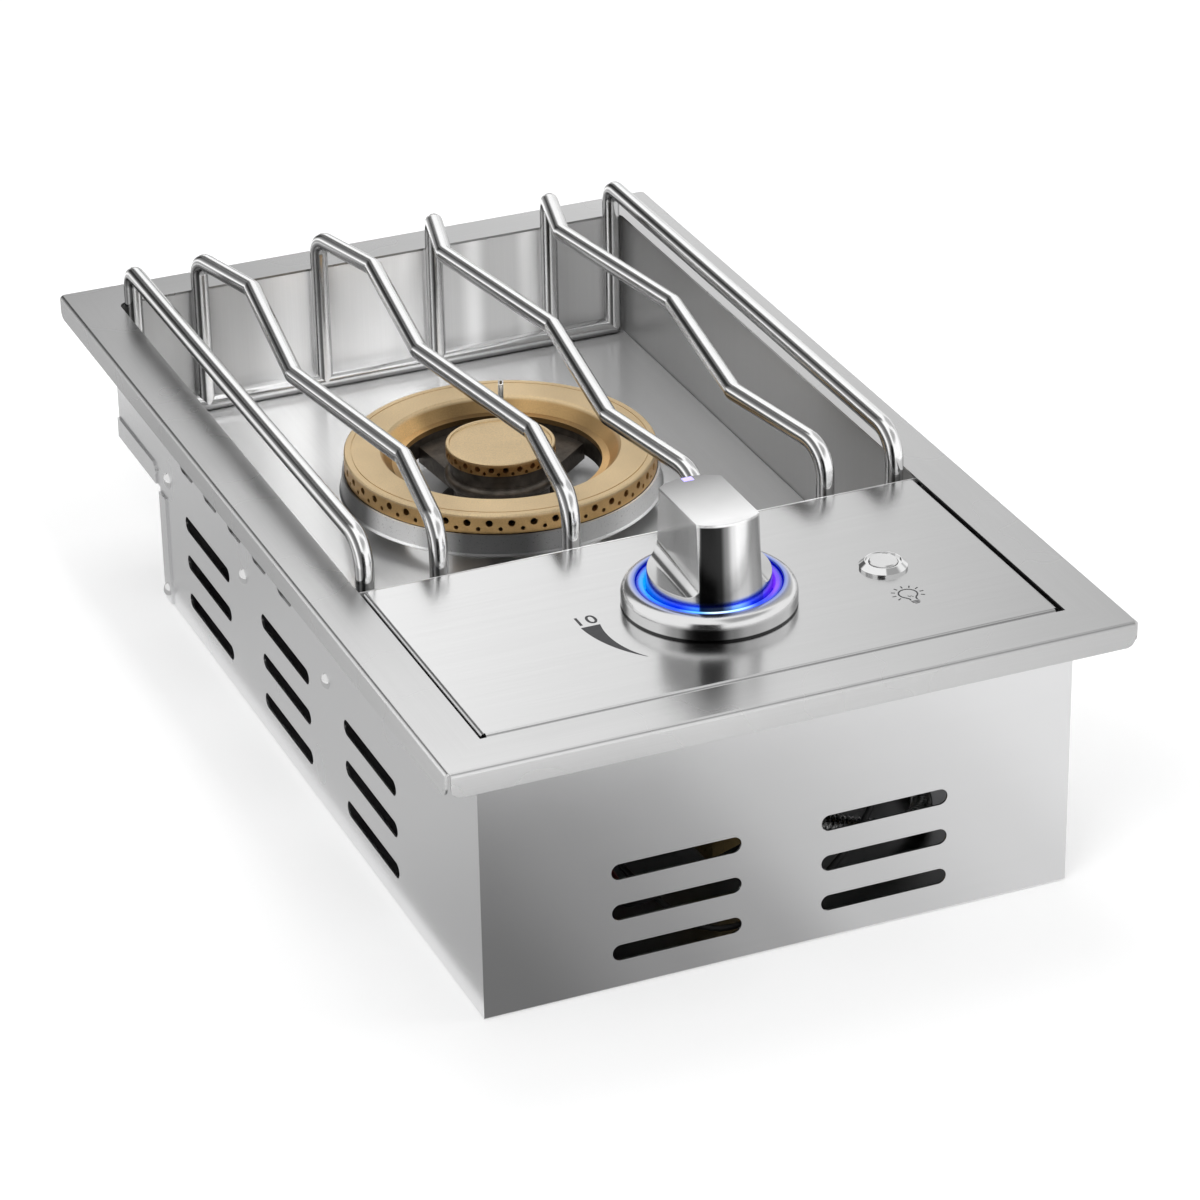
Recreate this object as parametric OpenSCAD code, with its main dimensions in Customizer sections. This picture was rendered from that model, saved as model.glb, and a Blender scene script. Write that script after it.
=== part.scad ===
// Drop-in gas side burner for an outdoor kitchen, with a lift-off rod grate.
// The origin is at the centre of the casing's underside.
// X runs to the right, Y to the back and Z up. All lengths are in millimetres.

/* [Top frame] */
// Width of the frame from side to side
frame_w = 330; // [310:1:360]
// Depth of the frame from front to back
frame_d = 552; // [520:1:600]
// Height of the frame's turned-down lip
frame_lip = 12; // [9:0.5:16]
// Thickness of the frame's sheet
frame_t = 1.2; // [1:0.1:1.5]
// Width of the flat land at each side of the opening
side_land = 24.7; // [22:0.1:28]
// Width of the flat land at the front and the back of the opening
end_land = 24; // [22:0.1:28]
// Radius of the two rear corners of the opening
opening_r = 5; // [5:0.5:10]

/* [Casing] */
// Height of the top frame above the casing's underside
case_h = 139; // [136:1:160]
// Thickness of the casing's sheet
sheet_t = 1; // [0.8:0.1:1.2]
// Depth from the frame's top to the underside of the stepped back
step_drop = 75; // [74:0.5:82]
// Distance from the igniter to the lower back wall
step_reach = 39; // [34:0.5:50]
// Width of the flanges that lap the casing's sides
lap_w = 10; // [8:0.5:12]

/* [Vents] */
// Height of every long vent
vent_h = 8; // [6:0.5:10]
// Length of a front vent
front_vent_l = 62.5; // [50:0.5:70]
// Distance of the front vent groups from the middle
front_vent_x = 50.8; // [45:0.1:60]
// Height of the front panel's top row of vents
front_row_z = 59; // [55:0.5:62]
// Distance between the rows of front vents
front_row_pitch = 20.7; // [15:0.1:22]
// Length of a side vent
side_vent_l = 68; // [50:0.5:75]
// Distance between the groups of side vents
side_group_pitch = 115.5; // [100:0.5:120]
// Height of the side panels' top row of vents
side_row_z = 61.5; // [56:0.5:62]
// Distance between the rows of side vents
side_row_pitch = 21.7; // [15:0.1:22]
// Number of short slots near the top of each side
short_slots = 5; // [3:1:6]
// Length of a short slot
short_slot_l = 21; // [15:0.5:24]
// Distance between the short slots
short_slot_pitch = 36.5; // [30:0.5:40]

/* [Control panel] */
// Depth of the control panel from front to back
panel_d = 149; // [140:0.5:160]
// Thickness of the control panel
panel_t = 1.5; // [1.2:0.1:2]
// Gap round the control panel
panel_gap = 1.4; // [0.8:0.1:2]
// Height of the control panel's turned-down edges
panel_skirt = 12; // [8:0.5:16]

/* [Burner tray] */
// Depth of the tray's floor below the frame's top
tray_drop = 67; // [64:0.5:68]
// Thickness of the tray's sheet
tray_t = 1; // [0.8:0.1:1.2]

/* [Burner] */
// Radius of the brass flame ring
ring_r = 78; // [70:0.5:84]
// Height of the flame ring
ring_h = 10; // [9:0.5:12]
// Depth of the flame ring's top below the frame's top
ring_drop = 33; // [32:0.5:36]
// Width of the flat top of the flame ring
ring_flat_w = 18; // [14:0.5:20]
// Radius of the hole through the flame ring
ring_hole_r = 50.6; // [47:0.1:52]
// Number of large ports round the flame ring
ring_ports = 45; // [30:1:48]
// Number of large ports round the centre cap
cap_ports = 24; // [16:1:28]
// Diameter of a large port
port_d = 3.6; // [2.5:0.1:4]
// Diameter of a small port
small_port_d = 2.2; // [1.5:0.1:2.6]
// Radius of the brass centre cap
cap_r = 27.3; // [26:0.1:30]
// Height of the centre cap
cap_h = 7; // [6.5:0.1:8]
// How far the steel cup reaches past the flame ring
cup_over = 3; // [2.5:0.5:6]
// Height of the steel cup
cup_h = 11; // [9:0.5:12]

/* [Grate] */
// Diameter of the grate's rods
rod_d = 9; // [7:0.5:10]
// Height of the rods' centre line above the frame's top
rod_rise = 19; // [16:0.5:30]
// Distance of the outer, straight rods from the middle
outer_rod_x = 133.5; // [130:0.5:134]
// Distance of the posts of the middle pair of rods from the middle
middle_rod_x = 97.5; // [90:0.5:102]
// Distance of the posts of the inner pair of rods from the middle
inner_rod_x = 32; // [26:0.5:38]
// How far a bent rod swings towards the middle
zig_in = 12.5; // [8:0.5:14]
// How far a bent rod swings away from the middle
zig_out = 3.5; // [0:0.5:6]
// Bend radius where a rod turns down into its front post
post_bend_r = 14; // [10:0.5:18]
// Bend radius where a rod turns down into its back post
back_bend_r = 8.5; // [7:0.5:14]
// Bend radius of a rod's sideways bends
zig_bend_r = 9; // [7:0.5:14]

/* [Knob] */
// Height of the knob's top above the panel
knob_top = 50.5; // [46:0.5:60]
// Radius of the knob at its lower edge
knob_r = 28.6; // [27:0.1:29]
// Radius of the knob at its top
knob_top_r = 25.6; // [24:0.1:26.5]
// Thickness of the knob's grip bar
grip_w = 30.4; // [24:0.2:32]
// Height of the scooped cheeks' floor above the panel
scoop_floor = 16.5; // [15:0.5:20]
// Radius of the bezel
bezel_r = 40; // [38:0.5:46]
// Height of the bezel
bezel_h = 11; // [9:0.5:14]
// How far the knob is pushed in to turn it
knob_travel = 4; // [2:0.5:4.5]

/* [Light button] */
// Distance of the button from the middle
button_x = 85.5; // [70:0.5:110]
// Radius of the button's round bezel
button_bezel_r = 11.2; // [11:0.1:14]
// Radius of the button
button_r = 6.7; // [5.5:0.1:7]
// How far the button is pushed in
button_travel = 1.5; // [1:0.1:2]

/* [Gas hose] */
// Outer radius of the hose's ribs
hose_r = 5.6; // [5.4:0.1:5.7]
// Radius between the ribs
hose_root_r = 4.6; // [4.4:0.1:4.8]
// Radius of the hose's bore
hose_bore_r = 3.6; // [3:0.1:4]
// Distance from rib to rib
rib_pitch = 2.6; // [2.5:0.1:4]

/* [Hidden] */
$fn = 64;
// Overrun of every cut past the face that it opens
cut = 1;
// Clearance of a screw in its hole
screw_gap = 0.1;
// Clearance of a shaft that turns or slides in its bore
run_gap = 0.05;
// Gap between faces that only lie near each other
face_gap = 0.3;

// Casing and frame places
frame_x = frame_w / 2;
frame_y = frame_d / 2;
open_x = frame_x - side_land;
open_y = frame_y - end_land;
frame_bend_in = 0.8;
frame_bend_r = frame_t + frame_bend_in;
lip_corner_r = 4.5;
under_z = case_h - frame_t;
tray_gap = 0.2;
rail_t = 1;
tray_x = open_x + tray_gap;
tray_out_x = tray_x + tray_t;
case_x = tray_out_x + rail_t + sheet_t;
case_in_x = case_x - sheet_t;
case_y = open_y + tray_gap + tray_t + face_gap + sheet_t;
case_in_y = case_y - sheet_t;
step_z = case_h - step_drop;
flange_w = 10;
flange_end = 14;
lap_gap = 4;
lap_low_gap = 2.5;
lap_corner_r = 5;
pan_edge = 10;

// Vents
vent_rows = 3;
side_vent_groups = 3;
side_vent_shift = -2.2;
short_slot_y = 68;
short_slot_drop = 46;
short_slot_z = case_h - short_slot_drop;

// Dome-head screws in the casing's sides
screw_r = 2;
dome_r = 4.3;
dome_h = 2.2;
side_screw_rise = 0.5;
screw_middle_share = 0.5376;
screw_pitch_share = 0.4146;
lap_screw_z = 6;

// Burner tray
panel_back = panel_d - open_y;
tray_front = panel_back + face_gap;
tray_z = case_h - tray_drop;
tray_mid_y = (panel_back + open_y) / 2;
burner_shift = 1.3;
burner_y = tray_mid_y + burner_shift;
burner_turn = -22;
electrode_r = 3.2;
electrode_in = 2.5;
electrode_x = -(ring_r - electrode_in) * sin(burner_turn);
electrode_y = burner_y + (ring_r - electrode_in) * cos(burner_turn);
step_y = electrode_y + electrode_r + step_reach;
tray_ledge = 4.5;
floor_gap = 0.3;
rail_leg = 10;
rail_shelf = 13;
rail_front = 8;
rail_back = 0.5;
rail_start = tray_front + rail_front;
rail_end = step_y - rail_back;
side_screw_y = rail_start + screw_middle_share * (rail_end - rail_start);
side_screw_pitch = screw_pitch_share * (rail_end - rail_start);

// Control panel
panel_x = open_x - panel_gap;
panel_front = panel_gap - open_y;
panel_bend_r = panel_t + frame_bend_in;
panel_corner_r = 1.5;
panel_under = case_h - panel_t;
ledge_shelf = 12;
ledge_end_gap = 6;
knob_y = panel_back - panel_d / 2;

// Burner heights and radii
ring_z = case_h - ring_drop;
ring_seat_z = ring_z - ring_h;
ring_wall = 3.5;
ring_roof = 3;
ring_edge = 0.6;
ring_flat_r = ring_r - ring_flat_w;
ring_ledge_w = 3.6;
ring_ledge_drop = 7;
ring_ledge_fall = 0.3;
groove_in = 3.6;
groove_w = 0.6;
groove_depth = 0.4;
port_drop = 4.4;
small_port_drop = 7.4;
ring_slot_w = 2.8;
cap_rise = 2.5;
cap_z = ring_z + cap_rise;
cap_seat_z = cap_z - cap_h;
cap_wall = 3.5;
cap_roof = 3;
cap_dish = 0.8;
cap_rim_w = 1.6;
cap_edge = 0.4;
cap_port_drop = 3.3;
cap_small_port_drop = 5.4;
cap_port_turn = -1.5;
cap_spigot_drop = 4;
cap_spigot_wall = 1.7;
cap_spigot_gap = 0.3;
cap_notch_w = 8;
channel_wall = 2.5;
channel_floor = 2.5;
channel_out_r = ring_r - 1.2;
channel_in_r = ring_hole_r + 0.2;
channel_z = ring_seat_z - 10;
hub_bore_r = cap_r - 5.8;
hub_rim_r = cap_r - 1;
hub_neck_r = cap_r - 1.8;
hub_rim_h = 3.3;
hub_neck_h = 4;
collar_r = 3;
collar_drop = 10.3;
hub_r = cap_r - 3.3;
hub_floor_h = 8;
foot_r = 32;
foot_h = 3;
burner_screw_r = 28;
burner_screw_count = 2;
spigot_r = 18;
spigot_drop = 7.7;
arm_w = 13;
arm_h = 9;
arm_top_drop = 4;
arm_bore_r = 3;
arm_bore_drop = 3.5;
web_over = 1;
web_in_x = hub_r + web_over;
web_in_drop = 1.5;
web_turn = 28;
web_bore_turn = 32;
cup_wall = 1;
cup_lean = 1.7;
cup_r = ring_r + cup_over;
cup_top_r = cup_r - cup_lean;
cup_floor_r = 62;
cup_top_gap = 0.3;

// Mixing tube, shutter and orifice
tube_r = 13;
tube_wall = 1.5;
elbow_r = 20;
tube_z = tray_z - spigot_drop - face_gap - elbow_r;
riser_gap = 0.2;
riser_top_gap = 2;
mouth_r = 18;
mouth_l = 8;
throat_s = 26;
throat_r = 10;
throat_end = 60;
face_t = 1.2;
window_r = 4.2;
window_ring_r = 11.5;
window_count = 4;
shutter_wall = 1.25;
shutter_sleeve = 10.5;
shutter_tab_w = 6;
shutter_tab_h = 9;
spud_r = 4.5;
spud_gap = 0.1;
spud_bore_r = 2.5;
jet_r = 0.5;
jet_l = 3;
spud_hex_r = 7;
spud_hex_l = 6;
spud_reach = 4;
block_half_l = 22;
spud_out_l = 13.5;
mouth_y = knob_y + block_half_l + spud_out_l + spud_reach;

// Gas valve
barrel_r = 12;
barrel_l = 50;
bonnet_drop = 31.5;
bonnet_z = panel_under - bonnet_drop;
barrel_base_z = bonnet_z - barrel_l;
bonnet_t = 4;
bonnet_w = 24;
bonnet_l = 26;
ear_h = 6;
plug_r = 8;
plug_bore_l = 32;
plug_z = bonnet_z - plug_bore_l;
plug_l = 18;
socket_l = 11;
stem_r = 4;
stem_foot_gap = 5;
stem_collar_r = 6.5;
stem_collar_h = 2.3;
stem_flat = 2.6;
stem_flat_l = 26;
stem_top_gap = 8;
spring_gap = 0.2;
spring_wire_r = 0.5;
spring_turns = 4;
stem_spring_r = 5.6;
block_w = 18;
block_z = 14;
inlet_z = 22;
inlet_forward = 14.5;
inlet_y = knob_y - inlet_forward;
nipple_r = 6;
nipple_l = 19;
passage_r = 3;
valve_screw_r = 1.9;
valve_screw_y = 9.5;
valve_screw_head_r = 3.4;
valve_screw_head_h = 2.4;
valve_screw_depth = 5;
bracket_t = 1.2;
bracket_half = 14;
bracket_reach = 25.5;
bracket_l = 16;
bracket_base_l = 26;
bracket_hole_r = 5.5;

// Knob, bezel and light ring
knob_lift = 9;
knob_wall = 2.6;
knob_roof = 4;
scoop_r = 6;
scoop_tilt = 4;
scoop_reach = 60;
knob_cavity_h = 6;
boss_r = 8;
boss_lift = 1.5;
boss_gap = 0.05;
pointer_w = 5;
pointer_l = 3.6;
pointer_t = 1;
pointer_proud = 0.1;
pointer_edge = 0.8;
dish_r = 33.3;
dish_floor = 2.5;
dish_hole_r = 9;
shoulder_r = 5.5;
panel_hole_r = 9;
stud_r = 2;
stud_x = 20;
stud_l = 6;
stud_nut_r = 4;
stud_nut_h = 2.6;
light_ring_in_r = 29.4;
light_ring_h = 4.5;
light_ring_gap = 0.3;
light_leg_r = 1.3;
light_leg_ring_r = 31.3;
light_leg_count = 3;
light_leg_turn = 30;
board_in_r = 27;
board_out_r = 34;
board_t = 1.6;
board_drop = 2;

// Light button
button_forward = 2.5;
button_y = knob_y - button_forward;
button_bezel_h = 3.4;
button_bezel_edge = 1.2;
button_top_r = 8.7;
button_groove_depth = 0.8;
button_groove_wall = 0.35;
button_bore_gap = 0.2;
button_proud = 0.2;
button_skirt = 6;
button_edge = 0.5;
plunger_r = 2.5;
plunger_gap = 0.3;
barrel_wall = 1;
button_barrel_l = 15.5;
button_nut_r = 11;
button_nut_h = 4;
button_spring_r = 4.6;
button_spring_wire_r = 0.4;
switch_w = 16;
switch_h = 14;

// Igniter, switch and battery box
electrode_neck_r = 1.2;
electrode_drop = 14;
electrode_collar_r = 4.6;
electrode_collar_h = 2.5;
electrode_shoulder_gap = 2;
electrode_tip_drop = 1.4;
electrode_hole_gap = 0.3;
wire_r = 0.6;
wire_reach = 2.2;
clip_w = 18;
clip_l = 12;
clip_t = 1;
module_size = [55, 35, 23];
battery_size = [65, 40, 25];
box_side_gap = 17.5;
box_front_gap = 38.5;
box_spacing = 15;
module_x = box_side_gap - case_in_x;
module_y = box_front_gap - case_in_y;
battery_y = module_y + module_size[1] + box_spacing;
micro_size = [5.5, 20, 10];
micro_rise = 7;
micro_z = bonnet_z + micro_rise;
lead_r = 1.5;
lead_sides = 6;
lead_steps = 4;
lead_gap = 0.15;

// Hose, nuts and inlet
inlet_side_gap = 42.5;
inlet_x = case_in_x - inlet_side_gap;
inlet_rear_z = 30;
fitting_in_l = 19;
fitting_out_r = 7.94;
fitting_out_l = 14;
fitting_hex_r = 12;
fitting_hex_h = 5;
fitting_bore_r = 4;
lock_nut_h = 4;
nut_r = 10;
nut_over = 8;
nut_tail = 6;
nut_gap = 0.1;
nut_hose_gap = 0.3;
hose_sides = 8;
hose_bore_rings = 48;
hose_smooth = 8;
hose_side_gap = 24.5;
hose_low_z = 7;

// Grate places
rod_r = rod_d / 2;
rod_z = case_h + rod_rise;
bar_z = tray_z + rod_r;
post_back_gap = 0.3;
post_front_gap = 5;
post_back_y = open_y - rod_r - post_back_gap;
post_front_y = panel_back + rod_r + post_front_gap;
bar_over = 2.5;
bend_back_share = 0.8565;
bend_mid_share = 0.54;
bend_front_share = 0.2234;
bend_back_y = post_front_y + bend_back_share * (post_back_y - post_front_y);
bend_mid_y = post_front_y + bend_mid_share * (post_back_y - post_front_y);
bend_front_y = post_front_y + bend_front_share * (post_back_y - post_front_y);
// Extra radius of a bend, and how far the straight runs reach into it
bend_swell = 0.05;
bend_lap = 0.3;

// Routes of the hose and the leads, straight for a stretch at both ends.
// The points of each stretch are counted from the piece that it starts or ends at.
function placed(base, points) = [for (p = points) base + p];
hose_start = [block_w / 2 + nipple_l + lead_gap, inlet_y, inlet_z];
hose_end = [inlet_x, step_y - sheet_t - fitting_in_l - lead_gap, inlet_rear_z];
hose_route = concat(
    placed(hose_start, [[0, 0, 0], [12, 0, 0], [28, -2, -4.5], [48, -6, -9.5], [70, 2, -13.5]]),
    placed([case_in_x - hose_side_gap, inlet_y, hose_low_z], [[-6, 24, 0], [0, 72, 0]]),
    placed(hose_end, [[18, -168, -23], [17, -98, -22], [8, -53, -14], [1, -26, -3], [0, -12, 0], [0, 0, 0]])
);
module_side = [module_x + module_size[0] + lead_gap, module_y, 0];
battery_side = [module_x + battery_size[0] + lead_gap, battery_y, 0];
electrode_foot = [electrode_x, electrode_y, tray_z - electrode_drop - lead_gap];
electrode_under = [electrode_x, electrode_y, 0];
ignition_route = concat(
    placed(module_side, [[0, 15, 12], [6, 15, 12], [20, 25, 6], [25, 65, 3]]),
    placed(electrode_under, [[-70, -225, 3], [-63, -125, 3], [-46, -55, 3], [-16, -19, 10]]),
    placed(electrode_foot, [[-1.5, -1.5, -24], [0, 0, -6], [0, 0, 0]])
);
switch_route = concat(
    placed([bracket_half + micro_size[0] + lead_gap, knob_y, micro_z],
        [[0, 0, 5], [6, 0, 5], [15.5, -4.5, -9], [17.5, -22.5, -33], [2.5, -46.5, -61], [-39.5, -50.5, -77]]),
    placed(module_side, [[15, -7, 20], [6, 7, 16], [0, 7, 16]])
);
light_route = concat(
    placed([button_x, button_y, panel_under - button_barrel_l - switch_h - lead_gap],
        [[0, 0, 0], [0, 0, -6], [-7.5, -20, -20], [-25.5, -52, -48]]),
    placed([0, knob_y, 0], [[25, -65.5, 24], [-25, -65.5, 10]]),
    placed(module_side, [[20, 0, 22], [20, 50, 20]]),
    placed(battery_side, [[6, 20, 14], [0, 20, 14]])
);
board_route = concat(
    placed([board_out_r + lead_gap, knob_y, case_h], [[0, 0, -4.3], [6, 0, -4.3], [24, -0.5, -14]]),
    placed([button_x - switch_w / 2 - lead_gap, button_y, case_h], [[-6, 0, -24], [0, 0, -24]])
);

// Geometry of swept routes
function unit(v) = v / norm(v);
function blend_point(a, b, c, d, t) =
    0.5 * ((2 * b) + (c - a) * t + (2 * a - 5 * b + 4 * c - d) * t * t + (3 * b - a - 3 * c + d) * t * t * t);
function smooth_route(p, steps) = concat(
    [for (i = [0 : len(p) - 2], k = [0 : steps - 1])
        let (a = i == 0 ? 2 * p[0] - p[1] : p[i - 1], d = i == len(p) - 2 ? 2 * p[i + 1] - p[i] : p[i + 2])
        blend_point(a, p[i], p[i + 1], d, k / steps)],
    [p[len(p) - 1]]);
function run_lengths(q) = [for (i = 0, s = 0; i < len(q); s = s + (i < len(q) - 1 ? norm(q[i + 1] - q[i]) : 0),
    i = i + 1) s];
function along(q, lengths, s) = [for (axis = [0 : 2])
    lookup(s, [for (i = [0 : len(q) - 1]) [lengths[i], q[i][axis]]])];
function tangents(q) = [for (i = [0 : len(q) - 1])
    unit(q[min(i + 1, len(q) - 1)] - q[max(i - 1, 0)])];
function start_side(t) = unit(cross(t, abs(t[2]) > 0.9 ? [1, 0, 0] : [0, 0, 1]));
function sides_of(t) = [for (i = 0, n = start_side(t[0]); i < len(t); i = i + 1,
    n = i < len(t) ? unit(n - (n * t[i]) * t[i]) : n) n];
function ring_points(c, t, n, r, count) =
    [for (k = [0 : count - 1]) c + r * (cos(360 * k / count) * n + sin(360 * k / count) * cross(t, n))];
function sweep_points(q, radii, count) =
    let (t = tangents(q), n = sides_of(t))
    [for (i = [0 : len(q) - 1]) each ring_points(q[i], t[i], n[i], radii[i], count)];
function skin_faces(rings, count, first, inward) =
    [for (i = [0 : rings - 2], k = [0 : count - 1], half = [0, 1])
        let (a = first + i * count + k, b = first + i * count + (k + 1) % count, c = b + count, d = a + count,
             tri = half == 0 ? [a, b, c] : [a, c, d])
        inward ? [tri[2], tri[1], tri[0]] : tri];

// Least distance between points of a route that lie well apart along it
function least_gap(q, lengths) = min([for (i = [0 : len(q) - 1], j = [i : len(q) - 1])
    if (lengths[j] - lengths[i] > 6 * hose_r) norm(q[j] - q[i])]);

// Shared shapes
module block(low, high) {
    translate(low) cube(high - low);
}

module pipe(r_out, r_in, h) {
    difference() {
        cylinder(r = r_out, h = h);
        translate([0, 0, -cut]) cylinder(r = r_in, h = h + 2 * cut);
    }
}

module slot_outline(length, height) {
    square([length - height, height], center = true);
    for (side = [-1, 1]) translate([side * (length - height) / 2, 0]) circle(d = height);
}

module hex_nut(r, h, bore) {
    difference() {
        cylinder(r = r, h = h, $fn = 6);
        translate([0, 0, -cut]) cylinder(r = bore, h = h + 2 * cut);
    }
}

// A solid cord swept along a smoothed route
module cord(route, steps, r, count) {
    q = smooth_route(route, steps);
    points = sweep_points(q, [for (p = q) r], count);
    last = len(points) - count;
    polyhedron(points, concat(
        skin_faces(len(q), count, 0, false),
        [for (k = [1 : count - 2]) [0, k + 1, k]],
        [for (k = [1 : count - 2]) [last, last + k, last + k + 1]]));
}

// A round coil spring standing on its lower end
module coil_spring(coil_r, wire, length, turns) {
    rings = 8 * turns;
    rise = length - 2 * wire;
    q = [for (i = [0 : rings]) [coil_r * cos(45 * i), coil_r * sin(45 * i), wire + rise * i / rings]];
    count = 6;
    points = sweep_points(q, [for (p = q) wire], count);
    last = len(points) - count;
    polyhedron(points, concat(
        skin_faces(len(q), count, 0, false),
        [for (k = [1 : count - 2]) [0, k + 1, k]],
        [for (k = [1 : count - 2]) [last, last + k, last + k + 1]]));
}

// One straight length of rod between two points
module rod_run(a, b, r) {
    along_axis = unit(b - a);
    side = start_side(along_axis);
    other = cross(along_axis, side);
    multmatrix([
        [side[0], other[0], along_axis[0], a[0]],
        [side[1], other[1], along_axis[1], a[1]],
        [side[2], other[2], along_axis[2], a[2]],
        [0, 0, 0, 1]
    ]) cylinder(r = r, h = norm(b - a), $fn = 32);
}

// One round bend of rod at a corner, from the direction d_in to d_out
module rod_bend(corner, d_in, d_out, bend, r) {
    turn = acos(d_in * d_out);
    normal = unit(cross(d_in, d_out));
    out = cross(d_in, normal);
    centre = corner - d_in * bend * tan(turn / 2) - out * bend;
    multmatrix([
        [out[0], d_in[0], normal[0], centre[0]],
        [out[1], d_in[1], normal[1], centre[1]],
        [out[2], d_in[2], normal[2], centre[2]],
        [0, 0, 0, 1]
    ]) rotate_extrude(angle = turn, $fn = 48) translate([bend, 0]) circle(r = r + bend_swell, $fn = 32);
}

function trim(p, bends, i) =
    i == 0 || i == len(p) - 1 ? 0 : bends[i] * tan(acos(unit(p[i] - p[i - 1]) * unit(p[i + 1] - p[i])) / 2);

// A bent rod through the points, with a bend radius for each inner point
module bent_rod(p, bends, r) {
    for (i = [0 : len(p) - 2]) {
        way = unit(p[i + 1] - p[i]);
        start = i == 0 ? 0 : trim(p, bends, i) - bend_lap;
        end = i == len(p) - 2 ? 0 : trim(p, bends, i + 1) - bend_lap;
        rod_run(p[i] + way * start, p[i + 1] - way * end, r);
    }
    for (i = [1 : len(p) - 2]) rod_bend(p[i], unit(p[i] - p[i - 1]), unit(p[i + 1] - p[i]), bends[i], r);
}

// Edge of a sheet turned down along Y, with its outer face at x 0 and its top at z 0
module turned_edge(length, drop, bend, t, corner) {
    low = drop - bend;
    translate([-t, 0, -bend]) rotate([90, 0, 90]) linear_extrude(t) {
        translate([-length / 2, corner - low]) square([length, low - corner]);
        translate([corner - length / 2, -low]) square([length - 2 * corner, low]);
        for (side = [-1, 1]) translate([side * (length / 2 - corner), corner - low]) circle(r = corner);
    }
    translate([-bend, 0, -bend]) rotate([90, 0, 0]) linear_extrude(length, center = true) intersection() {
        difference() {
            circle(r = bend);
            circle(r = bend - t);
        }
        square([bend, bend]);
    }
}

// Plan of the tray's opening, grown on all sides
module tray_outline(grow) {
    front = tray_front + tray_t - grow + tray_gap;
    back = open_y + grow;
    half = open_x + grow;
    corner = opening_r + grow;
    translate([-half, front]) square([2 * half, back - corner - front]);
    translate([corner - half, front]) square([2 * (half - corner), back - front]);
    for (side = [-1, 1]) translate([side * (half - corner), back - corner]) circle(r = corner);
}

// Casing
module top_frame() {
    color("gainsboro") difference() {
        union() {
            block([frame_bend_r - frame_x, frame_bend_r - frame_y, under_z],
                [frame_x - frame_bend_r, frame_y - frame_bend_r, case_h]);
            for (turn = [0, 180]) rotate(turn) translate([frame_x, 0, case_h])
                turned_edge(frame_d - 2 * frame_bend_r, frame_lip, frame_bend_r, frame_t, lip_corner_r);
            for (turn = [90, 270]) rotate(turn) translate([frame_y, 0, case_h])
                turned_edge(frame_w - 2 * frame_bend_r, frame_lip, frame_bend_r, frame_t, lip_corner_r);
        }
        translate([0, 0, under_z - cut]) linear_extrude(frame_t + 2 * cut) {
            tray_outline(0);
            translate([-open_x, -open_y]) square([2 * open_x, open_y]);
        }
    }
}

module screw_holes_x() {
    for (y = side_screw_places()) translate([0, y, tray_z + side_screw_rise]) rotate([0, 90, 0])
        cylinder(r = screw_r + screw_gap, h = frame_w, center = true);
    translate([0, step_y - lap_w / 2, lap_screw_z]) rotate([0, 90, 0])
        cylinder(r = screw_r + screw_gap, h = frame_w, center = true);
}

function side_screw_places() = [for (i = [-1 : 1]) side_screw_y + i * side_screw_pitch];

module front_panel() {
    color("silver") difference() {
        union() {
            block([-case_x, -case_y, 0], [case_x, -case_in_y, under_z]);
            block([flange_end - case_x, -case_y - flange_w, under_z - sheet_t],
                [case_x - flange_end, -case_y, under_z]);
        }
        for (side = [-1, 1], row = [0 : vent_rows - 1])
            translate([side * front_vent_x, -case_y, front_row_z - row * front_row_pitch])
                rotate([90, 0, 0]) linear_extrude(2 * (sheet_t + cut), center = true)
                    slot_outline(front_vent_l, vent_h);
    }
}

module side_vents() {
    for (group = [0 : side_vent_groups - 1], row = [0 : vent_rows - 1])
        translate([case_x, side_vent_shift + (group - (side_vent_groups - 1) / 2) * side_group_pitch,
                side_row_z - row * side_row_pitch])
            rotate([90, 0, 90]) linear_extrude(2 * (sheet_t + cut), center = true)
                slot_outline(side_vent_l, vent_h);
    for (i = [0 : short_slots - 1])
        translate([case_x, short_slot_y + (i - (short_slots - 1) / 2) * short_slot_pitch, short_slot_z])
            rotate([90, 0, 90]) linear_extrude(2 * (sheet_t + cut), center = true)
                slot_outline(short_slot_l, vent_h);
}

module side_panel() {
    color("silver") difference() {
        union() {
            block([case_in_x, -case_in_y, 0], [case_x, step_y - sheet_t, under_z]);
            block([case_in_x, -case_in_y, step_z], [case_x, case_y, under_z]);
            block([case_x, flange_end - case_in_y, under_z - sheet_t],
                [case_x + flange_w, case_in_y - flange_end, under_z]);
        }
        side_vents();
        screw_holes_x();
    }
}

module right_side_panel() {
    side_panel();
}

module left_side_panel() {
    mirror([1, 0, 0]) side_panel();
}

module rear_upper_panel() {
    color("silver") {
        block([-case_in_x, case_in_y, step_z], [case_in_x, case_y, under_z]);
        block([flange_end - case_in_x, case_y, under_z - sheet_t],
            [case_in_x - flange_end, case_y + flange_w, under_z]);
    }
}

// One lapped flange of the step, with its front end rounded
module step_lap() {
    low = step_z - sheet_t;
    front = step_y + lap_gap;
    block([case_x, front + lap_corner_r, low], [case_x + sheet_t, case_y, step_z + lap_w]);
    block([case_x, front, low], [case_x + sheet_t, case_y, step_z + lap_w - lap_corner_r]);
    translate([case_x, front + lap_corner_r, step_z + lap_w - lap_corner_r]) rotate([0, 90, 0])
        cylinder(r = lap_corner_r, h = sheet_t);
}

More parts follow.
